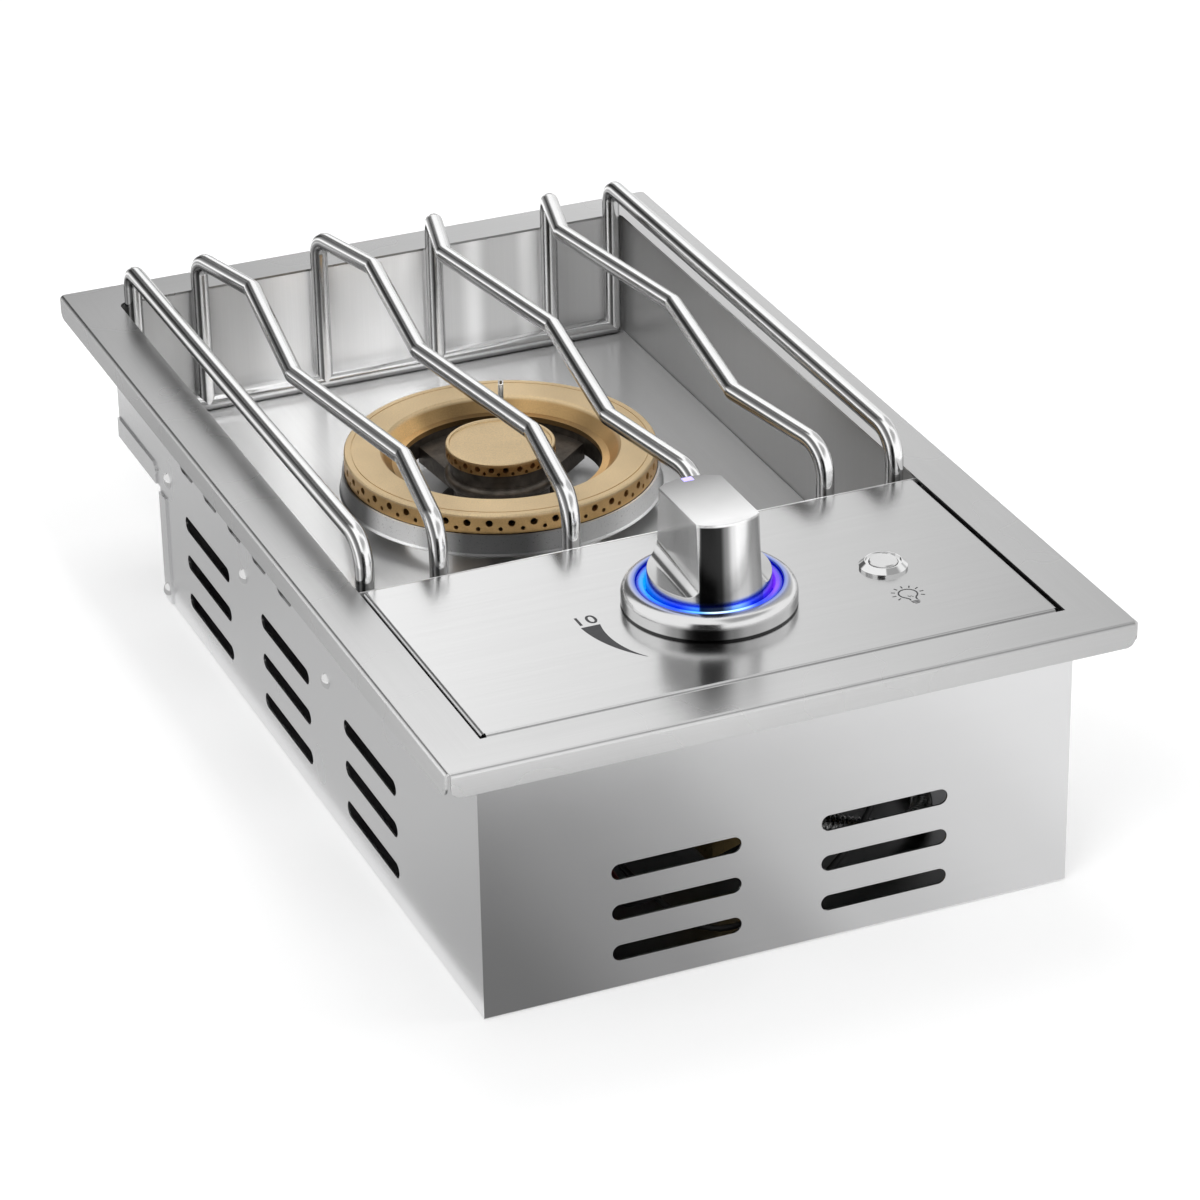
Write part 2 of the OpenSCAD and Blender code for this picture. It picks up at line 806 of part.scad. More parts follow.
module rear_cover() {
    color("silver") difference() {
        union() {
            block([-case_x, step_y - sheet_t, step_z - sheet_t], [case_x, case_y, step_z]);
            block([-case_x, step_y - sheet_t, 0], [case_x, step_y, step_z]);
            for (side = [0, 1]) mirror([side, 0, 0]) {
                step_lap();
                block([case_x, step_y - lap_w, 0], [case_x + sheet_t, step_y, step_z - sheet_t - lap_low_gap]);
            }
        }
        screw_holes_x();
        translate([inlet_x, step_y, inlet_rear_z]) rotate([90, 0, 0])
            cylinder(r = fitting_out_r + screw_gap, h = 2 * (sheet_t + cut), center = true);
    }
}

module bottom_pan() {
    back = step_y - sheet_t;
    color("darkgray") difference() {
        union() {
            block([-case_in_x, -case_in_y, 0], [case_in_x, back, sheet_t]);
            for (side = [0, 1]) mirror([side, 0, 0])
                block([case_in_x - sheet_t, -case_in_y, 0], [case_in_x, back, pan_edge]);
            block([-case_in_x, -case_in_y, 0], [case_in_x, sheet_t - case_in_y, pan_edge]);
            block([-case_in_x, back - sheet_t, 0], [case_in_x, back, pan_edge]);
        }
        screw_holes_x();
    }
}

// Dome-head screw whose head sits on x 0 and points to +X
module dome_screw(depth) {
    ball = (dome_r * dome_r + dome_h * dome_h) / (2 * dome_h);
    rotate([0, 90, 0]) {
        intersection() {
            translate([0, 0, dome_h - ball]) sphere(r = ball);
            cylinder(r = dome_r + cut, h = dome_h + cut);
        }
        translate([0, 0, -depth]) cylinder(r = screw_r, h = depth);
    }
}

module side_screws() {
    color("lightgray") for (side = [0, 1]) mirror([side, 0, 0]) {
        for (y = side_screw_places()) translate([case_x, y, tray_z + side_screw_rise])
            dome_screw(sheet_t + rail_t - screw_gap);
        translate([case_x + sheet_t, step_y - lap_w / 2, lap_screw_z]) dome_screw(3 * sheet_t);
    }
}

// Burner tray
module tray_walls() {
    color("lightgray") {
        translate([0, 0, tray_z - 2 * tray_t]) linear_extrude(under_z - tray_z + 2 * tray_t) difference() {
            tray_outline(tray_gap + tray_t);
            tray_outline(tray_gap);
        }
        translate([0, 0, tray_z - 2 * tray_t]) linear_extrude(tray_t) difference() {
            tray_outline(tray_gap + tray_t);
            tray_outline(-tray_ledge);
        }
    }
}

module burner_screw_places() {
    for (i = [0 : burner_screw_count - 1])
        translate([0, burner_y, 0]) rotate(burner_turn + 360 * i / burner_screw_count) translate([burner_screw_r, 0, 0])
            children();
}

module tray_floor() {
    color("whitesmoke") difference() {
        translate([0, 0, tray_z - tray_t]) linear_extrude(tray_t) tray_outline(-floor_gap);
        translate([0, burner_y, tray_z - tray_t - cut])
            cylinder(r = spigot_r + screw_gap, h = tray_t + 2 * cut);
        translate([electrode_x, electrode_y, tray_z - tray_t - cut])
            cylinder(r = electrode_r + electrode_hole_gap, h = tray_t + 2 * cut);
        burner_screw_places() translate([0, 0, tray_z - tray_t - cut])
            cylinder(r = screw_r + screw_gap, h = tray_t + 2 * cut);
    }
}

module tray_rails() {
    low = tray_z - 2 * tray_t - rail_t;
    color("darkgray") difference() {
        for (side = [0, 1]) mirror([side, 0, 0]) {
            block([case_in_x - rail_shelf, rail_start, low], [case_in_x, rail_end, low + rail_t]);
            block([tray_out_x, rail_start, low], [case_in_x, rail_end, low + rail_leg]);
        }
        screw_holes_x();
    }
}

// Control panel
module stud_places() {
    for (side = [-1, 1]) translate([side * stud_x, knob_y, 0]) children();
}

module leg_places() {
    translate([0, knob_y, 0]) for (i = [0 : light_leg_count - 1])
        rotate(light_leg_turn + 360 * i / light_leg_count) translate([light_leg_ring_r, 0, 0]) children();
}

module control_panel() {
    mid_y = (panel_front + panel_back) / 2;
    length = panel_back - panel_front;
    color("gainsboro") difference() {
        union() {
            block([panel_bend_r - panel_x, panel_front + panel_bend_r, panel_under],
                [panel_x - panel_bend_r, panel_back - panel_bend_r, case_h]);
            for (turn = [0, 180]) translate([0, mid_y, case_h]) rotate(turn) translate([panel_x, 0, 0])
                turned_edge(length - 2 * panel_bend_r, panel_skirt, panel_bend_r, panel_t, panel_corner_r);
            for (turn = [90, 270]) translate([0, mid_y, case_h]) rotate(turn) translate([length / 2, 0, 0])
                turned_edge(2 * (panel_x - panel_bend_r), panel_skirt, panel_bend_r, panel_t, panel_corner_r);
        }
        translate([0, knob_y, panel_under - cut]) cylinder(r = panel_hole_r, h = panel_t + 2 * cut);
        stud_places() translate([0, 0, panel_under - cut])
            cylinder(r = stud_r + screw_gap, h = panel_t + 2 * cut);
        leg_places() translate([0, 0, panel_under - cut])
            cylinder(r = light_leg_r + light_ring_gap, h = panel_t + 2 * cut);
        translate([button_x, button_y, panel_under - cut])
            cylinder(r = button_bore_r() + barrel_wall + screw_gap, h = panel_t + 2 * cut);
    }
}

module panel_ledges() {
    top = case_h - panel_skirt;
    front = ledge_end_gap - case_in_y;
    back = panel_back - ledge_end_gap;
    color("darkgray") for (side = [0, 1]) mirror([side, 0, 0]) {
        block([case_in_x - ledge_shelf, front, top - sheet_t], [case_in_x, back, top]);
        block([case_in_x - sheet_t, front, top - sheet_t], [case_in_x, back, under_z]);
    }
}

// Burner
module burner_casting() {
    collar_z = ring_seat_z + hub_top() - collar_drop;
    hub_z = ring_seat_z + hub_top();
    arm_low_z = ring_seat_z - arm_top_drop - arm_h;
    color("dimgray") translate([0, burner_y, 0]) rotate(burner_turn) difference() {
        union() {
            translate([0, 0, tray_z - spigot_drop]) cylinder(r = spigot_r, h = spigot_drop);
            translate([0, 0, tray_z]) cylinder(r = foot_r, h = foot_h);
            translate([0, 0, tray_z]) cylinder(r = hub_r, h = hub_z - hub_rim_h - hub_neck_h - tray_z);
            translate([0, 0, collar_z]) rotate_extrude() {
                translate([hub_r + collar_r / 2, 0]) circle(r = collar_r);
                translate([hub_r - collar_r, -collar_r]) square([1.5 * collar_r, 2 * collar_r]);
            }
            translate([0, 0, collar_z]) cylinder(r = hub_neck_r, h = hub_z - collar_z - hub_rim_h);
            translate([0, 0, hub_z - hub_rim_h]) cylinder(r = hub_rim_r, h = hub_rim_h);
            translate([0, 0, arm_low_z]) linear_extrude(arm_h) web_shape();
            rotate(270) block([hub_bore_r + arm_bore_r, -arm_w / 2, arm_low_z],
                [channel_in_r + channel_wall / 2, arm_w / 2, arm_low_z + arm_h]);
            translate([0, 0, channel_z]) difference() {
                cylinder(r = channel_out_r, h = ring_seat_z - channel_z);
                translate([0, 0, channel_floor])
                    pipe(channel_out_r - channel_wall, channel_in_r + channel_wall, ring_seat_z - channel_z);
                translate([0, 0, -cut]) cylinder(r = channel_in_r, h = ring_seat_z - channel_z + 2 * cut);
            }
        }
        translate([0, 0, tray_z + hub_floor_h]) cylinder(r = hub_bore_r, h = ring_h + ring_seat_z - tray_z);
        translate([0, 0, tray_z - spigot_drop - cut])
            cylinder(r = tube_r + riser_gap, h = spigot_drop + hub_floor_h + 2 * cut);
        for (turn = [90 - web_bore_turn, 90, 90 + web_bore_turn, 270]) rotate(turn)
            translate([hub_bore_r - cut, 0, ring_seat_z - arm_top_drop - arm_bore_drop]) rotate([0, 90, 0])
                cylinder(r = arm_bore_r, h = channel_in_r + channel_wall - hub_bore_r + 2 * cut);
        block([-ring_slot_w / 2, channel_out_r - channel_wall - cut, channel_z + channel_floor],
            [ring_slot_w / 2, ring_r, ring_seat_z + cut]);
        translate([0, ring_r - electrode_in, channel_z - cut])
            cylinder(r = electrode_neck_r + electrode_hole_gap, h = channel_floor + 2 * cut);
        rotate(-burner_turn) translate([0, -burner_y, 0]) burner_screw_places() translate([0, 0, tray_z - cut])
            cylinder(r = screw_r + screw_gap, h = foot_h + 2 * cut);
    }
}

// Plan of the wide web that joins the hub to the back of the ring's channel
module web_shape() {
    reach = 2 * channel_in_r;
    intersection() {
        circle(r = channel_in_r + channel_wall / 2);
        polygon([
            [-web_in_x, -web_in_drop], [web_in_x, -web_in_drop],
            [web_in_x + reach * sin(web_turn), reach * cos(web_turn)],
            [-web_in_x - reach * sin(web_turn), reach * cos(web_turn)]
        ]);
    }
}

// Height of the hub's rim above the seat of the flame ring
function hub_top() = ring_h + cap_rise - cap_h;

module burner_cup() {
    top = ring_seat_z - cup_top_gap;
    low = top - cup_h;
    color("lightsteelblue") translate([0, burner_y, 0]) rotate(burner_turn) difference() {
        union() {
            translate([0, 0, low]) cylinder(r1 = cup_r, r2 = cup_top_r, h = cup_h);
        }
        translate([0, 0, channel_z]) cylinder(r1 = cup_in_r(channel_z - low), r2 = cup_top_r - cup_wall,
            h = top - channel_z);
        translate([0, 0, top - cut / 10]) cylinder(r = cup_top_r - cup_wall, h = cut);
        translate([0, 0, low - cut]) cylinder(r = cup_floor_r, h = cup_h + 2 * cut);
        translate([0, ring_r - electrode_in, low - cut])
            cylinder(r = electrode_neck_r + electrode_hole_gap, h = cup_h);
    }
}

// Inner radius of the cup's slanted wall at a height above its lower edge
function cup_in_r(z) = cup_r - cup_wall - (cup_r - cup_top_r) * z / cup_h;

module port_ring(count, radius, size, depth, z) {
    for (i = [0 : count - 1]) rotate(90 + 360 * i / count) translate([radius - depth, 0, z]) rotate([0, 90, 0])
        cylinder(d = size, h = depth + cut, $fn = 24);
}

module flame_ring() {
    ledge_z = ring_z - ring_ledge_drop;
    ledge_r = ring_hole_r + ring_ledge_w;
    color("burlywood") translate([0, burner_y, 0]) rotate(burner_turn) difference() {
        rotate_extrude() difference() {
            polygon([
                [ring_hole_r, ring_seat_z], [ring_r, ring_seat_z], [ring_r, ring_z - ring_edge],
                [ring_r - ring_edge, ring_z], [ring_flat_r, ring_z], [ledge_r, ledge_z],
                [ring_hole_r, ledge_z - ring_ledge_fall]
            ]);
            polygon([
                [ledge_r + ring_roof, ring_seat_z - cut], [ring_r - ring_wall, ring_seat_z - cut],
                [ring_r - ring_wall, ring_z - ring_roof], [ring_flat_r + ring_roof / 2, ring_z - ring_roof],
                [ledge_r + ring_roof, ledge_z - ring_roof / 3]
            ]);
            translate([ring_r - groove_in - groove_w / 2, ring_z - groove_depth]) square([groove_w, cut]);
        }
        port_ring(ring_ports, ring_r, port_d, ring_wall + cut, ring_z - port_drop);
        rotate(180 / ring_ports)
            port_ring(ring_ports, ring_r, small_port_d, ring_wall + cut, ring_z - small_port_drop);
        block([-ring_slot_w / 2, ring_flat_r - ring_roof, ring_seat_z - cut],
            [ring_slot_w / 2, ring_r + cut, ring_z + cut]);
    }
}

module centre_cap() {
    spigot_out = hub_bore_r - cap_spigot_gap;
    color("burlywood") translate([0, burner_y, 0]) rotate(burner_turn) difference() {
        union() {
            rotate_extrude() difference() {
                polygon([
                    [0, cap_seat_z], [hub_rim_r, cap_seat_z], [cap_r, cap_seat_z + cap_edge],
                    [cap_r, cap_z - cap_edge], [cap_r - cap_edge, cap_z], [cap_r - cap_rim_w, cap_z],
                    [cap_r - cap_rim_w - cap_edge, cap_z - cap_dish], [0, cap_z - cap_dish]
                ]);
                translate([-cut, cap_seat_z - cut]) square([cap_r - cap_wall + cut, cap_h - cap_roof + cut]);
            }
            translate([0, 0, cap_seat_z - cap_spigot_drop]) difference() {
                pipe(spigot_out, spigot_out - cap_spigot_wall, cap_h + cap_spigot_drop - cap_roof + cap_dish);
                for (turn = [0, 90]) rotate(turn)
                    block([-cap_r, -cap_notch_w / 2, -cut], [cap_r, cap_notch_w / 2, cap_spigot_drop + cap_h - cap_roof]);
            }
        }
        rotate(cap_port_turn - burner_turn)
            port_ring(cap_ports, cap_r, port_d * 0.8, cap_wall + cut, cap_z - cap_port_drop);
        rotate(cap_port_turn - burner_turn + 180 / cap_ports)
            port_ring(cap_ports, cap_r, small_port_d * 0.8, cap_wall + cut, cap_z - cap_small_port_drop);
    }
}

module burner_screws() {
    color("silver") burner_screw_places() {
        translate([0, 0, tray_z + foot_h]) cylinder(r = valve_screw_head_r, h = valve_screw_head_h);
        translate([0, 0, tray_z - tray_t]) cylinder(r = screw_r, h = foot_h + tray_t);
    }
}

// Gas path
module mouth_windows(depth) {
    for (i = [0 : window_count - 1]) rotate(45 + 360 * i / window_count) translate([window_ring_r, 0, -cut])
        cylinder(r = window_r, h = depth + 2 * cut);
}

module mixing_tube() {
    run = burner_y - elbow_r - mouth_y;
    color("slategray") {
        translate([0, mouth_y, tube_z]) rotate([-90, 0, 0]) difference() {
            rotate_extrude() polygon([
                [spud_r + spud_gap, 0], [mouth_r, 0], [mouth_r, mouth_l], [tube_r, throat_s], [tube_r, run],
                [tube_r - tube_wall, run], [tube_r - tube_wall, throat_end], [throat_r, throat_s],
                [mouth_r - tube_wall, mouth_l], [mouth_r - tube_wall, face_t], [spud_r + spud_gap, face_t]
            ]);
            mouth_windows(face_t);
        }
        translate([0, burner_y - elbow_r, tube_z + elbow_r]) rotate([0, 90, 0]) rotate_extrude(angle = 90)
            translate([elbow_r, 0]) difference() {
                circle(r = tube_r);
                circle(r = tube_r - tube_wall);
            }
        translate([0, burner_y, tube_z + elbow_r])
            pipe(tube_r, tube_r - tube_wall, tray_z - riser_top_gap - tube_z - elbow_r);
    }
}

module air_shutter() {
    color("lightgray") translate([0, mouth_y - face_gap - face_t, tube_z]) rotate([-90, 0, 0]) difference() {
        union() {
            cylinder(r = mouth_r + run_gap + shutter_wall, h = shutter_sleeve);
            block([-shutter_tab_w / 2, -mouth_r - shutter_tab_h, 0], [shutter_tab_w / 2, 0, face_t]);
        }
        translate([0, 0, face_t]) cylinder(r = mouth_r + run_gap, h = shutter_sleeve);
        translate([0, 0, -cut]) cylinder(r = spud_r + face_gap, h = face_t + 2 * cut);
        mouth_windows(face_t);
    }
}

module gas_orifice() {
    reach = mouth_y + spud_reach - spud_hex_l - (knob_y + block_half_l);
    color("goldenrod") translate([0, knob_y + block_half_l, tube_z]) rotate([-90, 0, 0]) difference() {
        union() {
            cylinder(r = spud_hex_r, h = spud_hex_l, $fn = 6);
            translate([0, 0, spud_hex_l]) cylinder(r = spud_r, h = reach);
        }
        translate([0, 0, -cut]) cylinder(r = spud_bore_r, h = spud_hex_l + reach + cut - jet_l);
        cylinder(r = jet_r, h = spud_hex_l + reach + cut);
    }
}

module valve_body() {
    color("goldenrod") translate([0, knob_y, 0]) difference() {
        union() {
            block([-block_w / 2, -block_half_l, block_z], [block_w / 2, block_half_l, barrel_base_z]);
            translate([0, 0, barrel_base_z]) cylinder(r = barrel_r, h = bonnet_z - barrel_base_z);
            block([-bonnet_w / 2, -bonnet_l / 2, bonnet_z - ear_h], [bonnet_w / 2, bonnet_l / 2, bonnet_z]);
            translate([block_w / 2, inlet_y - knob_y, inlet_z]) rotate([0, 90, 0])
                cylinder(r = nipple_r, h = nipple_l);
        }
        translate([0, 0, plug_z]) cylinder(r = plug_r, h = bonnet_z - plug_z + cut);
        translate([0, inlet_y - knob_y, inlet_z]) rotate([0, 90, 0])
            cylinder(r = passage_r, h = block_w / 2 + nipple_l + cut);
        translate([0, inlet_y - knob_y, inlet_z]) rotate([-90, 0, 0])
            cylinder(r = passage_r, h = knob_y - inlet_y);
        translate([0, 0, inlet_z - passage_r]) cylinder(r = passage_r, h = plug_z - inlet_z + passage_r + cut);
        translate([0, 0, tube_z]) rotate([-90, 0, 0]) cylinder(r = spud_bore_r, h = block_half_l + cut);
        for (side = [-1, 1]) translate([0, side * valve_screw_y, bonnet_z - valve_screw_depth])
            cylinder(r = valve_screw_r, h = valve_screw_depth + cut);
    }
}

module valve_plug() {
    color("tan") translate([0, knob_y, plug_z + spring_gap]) difference() {
        cylinder(r = plug_r - run_gap, h = plug_l);
        translate([0, 0, plug_l - socket_l]) cylinder(r = stem_r + run_gap, h = socket_l + cut);
        translate([0, 0, -cut]) cylinder(r = passage_r, h = plug_l - socket_l);
    }
}

module valve_bonnet() {
    color("silver") translate([0, knob_y, bonnet_z]) difference() {
        block([-bonnet_w / 2, -bonnet_l / 2, 0], [bonnet_w / 2, bonnet_l / 2, bonnet_t]);
        translate([0, 0, -cut]) cylinder(r = stem_r + run_gap, h = bonnet_t + 2 * cut);
        for (side = [-1, 1]) translate([0, side * valve_screw_y, -cut])
            cylinder(r = valve_screw_r + screw_gap, h = bonnet_t + 2 * cut);
    }
}

module valve_screws() {
    top = bonnet_z + bonnet_t + bracket_t;
    color("lightgray") for (side = [-1, 1]) translate([0, knob_y + side * valve_screw_y, 0]) {
        translate([0, 0, top]) cylinder(r = valve_screw_head_r, h = valve_screw_head_h);
        translate([0, 0, bonnet_z - valve_screw_depth])
            cylinder(r = valve_screw_r, h = top - bonnet_z + valve_screw_depth);
    }
}

module valve_bracket() {
    base = bonnet_z + bonnet_t;
    color("silver") translate([0, knob_y, 0]) difference() {
        union() {
            block([-bracket_half, -bracket_base_l / 2, base], [bracket_half, bracket_base_l / 2, base + bracket_t]);
            for (side = [0, 1]) mirror([side, 0, 0]) {
                block([bracket_half - bracket_t, -bracket_l / 2, base], [bracket_half, bracket_l / 2, panel_under]);
                block([bracket_half - bracket_t, -bracket_l / 2, panel_under - bracket_t],
                    [bracket_reach, bracket_l / 2, panel_under]);
            }
        }
        translate([0, 0, base - cut]) cylinder(r = bracket_hole_r, h = bracket_t + 2 * cut);
        for (side = [-1, 1]) translate([0, side * valve_screw_y, base - cut])
            cylinder(r = valve_screw_r + screw_gap, h = bracket_t + 2 * cut);
        translate([0, -knob_y, 0]) stud_places() translate([0, 0, panel_under - bracket_t - cut])
            cylinder(r = stud_r + screw_gap, h = bracket_t + 2 * cut);
    }
}

// Knob and stem
function plug_top() = plug_z + spring_gap + plug_l;
function stem_foot() = plug_top() - socket_l + stem_foot_gap;
function collar_low() = bonnet_z - spring_gap - stem_collar_h;
function stem_top() = case_h + knob_top - stem_top_gap;

module valve_stem() {
    color("lightgray") translate([0, knob_y, 0]) difference() {
        union() {
            translate([0, 0, stem_foot()]) cylinder(r = stem_r, h = stem_top() - stem_foot());
            translate([0, 0, collar_low()]) cylinder(r = stem_collar_r, h = stem_collar_h);
        }
        block([stem_flat, -stem_r - cut, stem_top() - stem_flat_l], [stem_r + cut, stem_r + cut, stem_top() + cut]);
    }
}

module stem_spring() {
    low = plug_top() + spring_gap;
    color("lightgray") translate([0, knob_y, low])
        coil_spring(stem_spring_r, spring_wire_r, collar_low() - spring_gap - low, spring_turns);
}

module scoop_cut() {
    floor_z = case_h + scoop_floor;
    top = case_h + knob_top + scoop_reach;
    for (side = [0, 1]) mirror([side, 0, 0]) translate([0, 0, floor_z]) rotate([scoop_tilt, 0, 0])
        translate([0, 0, -floor_z]) {
            block([grip_w / 2 + scoop_r, -scoop_reach, floor_z], [scoop_reach, scoop_reach, top]);
            block([grip_w / 2, -scoop_reach, floor_z + scoop_r], [scoop_reach, scoop_reach, top]);
            translate([grip_w / 2 + scoop_r, 0, floor_z + scoop_r]) rotate([90, 0, 0])
                cylinder(r = scoop_r, h = 2 * scoop_reach, center = true);
        }
}

module knob() {
    low = case_h + knob_lift;
    top = case_h + knob_top;
    roof = top - knob_roof;
    color("silver") translate([0, knob_y, 0]) difference() {
        union() {
            difference() {
                translate([0, 0, low]) cylinder(r1 = knob_r, r2 = knob_top_r, h = top - low);
                scoop_cut();
                translate([0, 0, low - cut])
                    cylinder(r = knob_r - knob_wall, h = knob_cavity_h + cut);
                block([knob_wall - grip_w / 2, knob_wall - knob_top_r * 0.86, low],
                    [grip_w / 2 - knob_wall, knob_top_r * 0.8 - knob_wall, roof]);
            }
            translate([0, 0, low + boss_lift]) cylinder(r = boss_r, h = roof - low - boss_lift + cut);
        }
        difference() {
            translate([0, 0, low]) cylinder(r = stem_r + boss_gap, h = stem_top() - low + spring_gap);
            block([stem_flat + boss_gap, -boss_r, stem_top() - stem_flat_l], [boss_r, boss_r, top]);
        }
        pointer_shape(0);
    }
}

// Lit mark let into the rear edge of the knob's top
module pointer_shape(grow) {
    top = case_h + knob_top;
    block([-pointer_w / 2, knob_top_r - pointer_edge - pointer_l, top - pointer_t],
        [pointer_w / 2, knob_top_r - pointer_edge, top + (grow == 0 ? cut : pointer_proud)]);
}

module knob_pointer() {
    color("mediumslateblue") translate([0, knob_y, 0]) pointer_shape(1);
}

module knob_bezel() {
    color("silver") translate([0, knob_y, case_h]) {
        difference() {
            union() {
                cylinder(r = bezel_r, h = bezel_h - shoulder_r);
                rotate_extrude() intersection() {
                    translate([bezel_r - shoulder_r, bezel_h - shoulder_r]) circle(r = shoulder_r);
                    translate([dish_r, 0]) square([bezel_r - dish_r, bezel_h]);
                }
            }
            translate([0, 0, dish_floor]) cylinder(r = dish_r, h = bezel_h);
            translate([0, 0, -cut]) cylinder(r = dish_hole_r, h = dish_floor + 2 * cut);
            translate([0, -knob_y, -cut]) leg_places()
                cylinder(r = light_leg_r + light_ring_gap, h = dish_floor + 2 * cut);
        }
        translate([0, -knob_y, -stud_l]) stud_places() cylinder(r = stud_r, h = stud_l);
    }
}

module bezel_nuts() {
    color("lightgray") stud_places() translate([0, 0, panel_under - bracket_t - stud_nut_h])
        hex_nut(stud_nut_r, stud_nut_h, stud_r + screw_gap);
}

module light_ring() {
    color("royalblue") {
        translate([0, knob_y, case_h + dish_floor]) pipe(dish_r - light_ring_gap, light_ring_in_r, light_ring_h);
        leg_places() translate([0, 0, panel_under - board_drop])
            cylinder(r = light_leg_r, h = panel_t + board_drop + dish_floor);
    }
}

module light_board() {
    color("seagreen") translate([0, knob_y, panel_under - board_drop - board_t])
        pipe(board_out_r, board_in_r, board_t);
}

// Light button
function button_bore_r() = button_r + button_bore_gap;

module button_housing() {
    color("silver") translate([button_x, button_y, case_h]) difference() {
        union() {
            rotate_extrude() polygon([
                [0, 0], [button_bezel_r, 0], [button_bezel_r, button_bezel_edge],
                [button_top_r, button_bezel_h], [0, button_bezel_h]
            ]);
            translate([0, 0, -panel_t - button_barrel_l])
                cylinder(r = button_bore_r() + barrel_wall, h = panel_t + button_barrel_l);
        }
        translate([0, 0, -panel_t - button_barrel_l - cut])
            cylinder(r = button_bore_r(), h = panel_t + button_barrel_l + button_bezel_h + 2 * cut);
        translate([0, 0, button_bezel_h - button_groove_depth])
            cylinder(r = button_top_r - button_groove_wall, h = button_groove_depth + cut);
    }
}

module light_button() {
    top = case_h + button_bezel_h + button_proud;
    low = case_h - button_skirt;
    color("silver") translate([button_x, button_y, 0]) {
        translate([0, 0, low]) cylinder(r = button_r, h = top - button_edge - low);
        translate([0, 0, top - button_edge]) cylinder(r1 = button_r, r2 = button_r - button_edge, h = button_edge);
        translate([0, 0, switch_top() + button_travel + plunger_gap])
            cylinder(r = plunger_r, h = low - switch_top() - button_travel - plunger_gap);
    }
}

function switch_top() = panel_under - button_barrel_l;

module button_nut() {
    color("lightgray") translate([button_x, button_y, panel_under - button_nut_h])
        hex_nut(button_nut_r, button_nut_h, button_bore_r() + barrel_wall + screw_gap);
}

module button_spring() {
    low = switch_top() + spring_gap;
    color("lightgray") translate([button_x, button_y, low])
        coil_spring(button_spring_r, button_spring_wire_r, case_h - button_skirt - spring_gap - low, spring_turns);
}

module button_switch() {
    color("dimgray") block([button_x - switch_w / 2, button_y - switch_w / 2, switch_top() - switch_h],
        [button_x + switch_w / 2, button_y + switch_w / 2, switch_top()]);
}

// Igniter
module igniter_electrode() {
    shoulder = channel_z - cup_wall - electrode_shoulder_gap;
    color("white") translate([electrode_x, electrode_y, 0]) {
        translate([0, 0, tray_z - electrode_drop]) cylinder(r = electrode_r, h = shoulder - tray_z + electrode_drop);
        translate([0, 0, tray_z]) cylinder(r = electrode_collar_r, h = electrode_collar_h);
        translate([0, 0, shoulder]) cylinder(r = electrode_neck_r, h = ring_z - electrode_tip_drop - shoulder);
    }
}

module electrode_wire() {
    color("lightgray") translate([electrode_x, electrode_y, ring_z - electrode_tip_drop])
        cylinder(r = wire_r, h = wire_reach, $fn = 24);
}

module electrode_clip() {
    color("lightgray") translate([electrode_x, electrode_y, tray_z - tray_t - clip_t]) difference() {
        block([-clip_w / 2, -clip_l / 2, 0], [clip_w / 2, clip_l / 2, clip_t]);
        translate([0, 0, -cut]) cylinder(r = electrode_r + run_gap, h = clip_t + 2 * cut);
    }
}

module pan_box(y, size) {
    block([module_x, y, sheet_t], [module_x + size[0], y + size[1], sheet_t + size[2]]);
}

module igniter_module() {
    color("dimgray") pan_box(module_y, module_size);
}

module battery_box() {
    color("dimgray") pan_box(battery_y, battery_size);
}

module valve_microswitch() {
    color("dimgray") block([bracket_half, knob_y - micro_size[1] / 2, micro_z],
        [bracket_half + micro_size[0], knob_y + micro_size[1] / 2, micro_z + micro_size[2]]);
}

module ignition_lead() {
    color("firebrick") cord(ignition_route, lead_steps, lead_r, lead_sides);
}

module switch_lead() {
    color("dimgray") cord(switch_route, lead_steps, lead_r, lead_sides);
}

module light_leads() {
    color("dimgray") {
        cord(light_route, lead_steps, lead_r, lead_sides);
        cord(board_route, lead_steps, lead_r, lead_sides);
    }
}

// Ribbed gas hose with its bore
module gas_hose() {
    path = smooth_route(hose_route, hose_smooth);
    lengths = run_lengths(path);
    total = lengths[len(lengths) - 1];
    end_run = 2 * hose_r;
    ribs = floor((total - 2 * end_run) / rib_pitch);
    ribbed = ribs * rib_pitch;
    first = (total - ribbed) / 2;
    stations = concat([0], [for (i = [0 : 2 * ribs]) first + i * rib_pitch / 2], [total]);
    radii = concat([hose_root_r], [for (i = [0 : 2 * ribs]) i % 2 == 0 ? hose_root_r : hose_r], [hose_root_r]);
    outer = [for (s = stations) along(path, lengths, s)];
    inner = [for (i = [0 : hose_bore_rings]) along(path, lengths, total * i / hose_bore_rings)];
    outer_points = sweep_points(outer, radii, hose_sides);
    inner_points = sweep_points(inner, [for (p = inner) hose_bore_r], hose_sides);
    n = len(outer_points);
    out_last = n - hose_sides;
    in_last = n + len(inner_points) - hose_sides;
    echo("least gap of the hose to itself", least_gap(path, lengths) - 2 * hose_r);
    color("silver") polyhedron(concat(outer_points, inner_points), concat(
        skin_faces(len(outer), hose_sides, 0, false),
        skin_faces(len(inner), hose_sides, n, true),
        [for (k = [0 : hose_sides - 1], half = [0, 1]) let (m = (k + 1) % hose_sides)
            half == 0 ? [k, n + m, m] : [k, n + k, n + m]],
        [for (k = [0 : hose_sides - 1], half = [0, 1]) let (m = (k + 1) % hose_sides)
            half == 0 ? [out_last + k, out_last + m, in_last + m] : [out_last + k, in_last + m, in_last + k]]));
}

// Union nut with its mouth at z 0 and the hose leaving at the top
module hose_nut() {
    difference() {
        cylinder(r = nut_r, h = nut_over + nut_tail, $fn = 6);
        translate([0, 0, -cut]) cylinder(r = nipple_r + nut_gap, h = nut_over + cut);
        cylinder(r = hose_root_r + nut_hose_gap, h = nut_over + nut_tail + cut);
    }
}

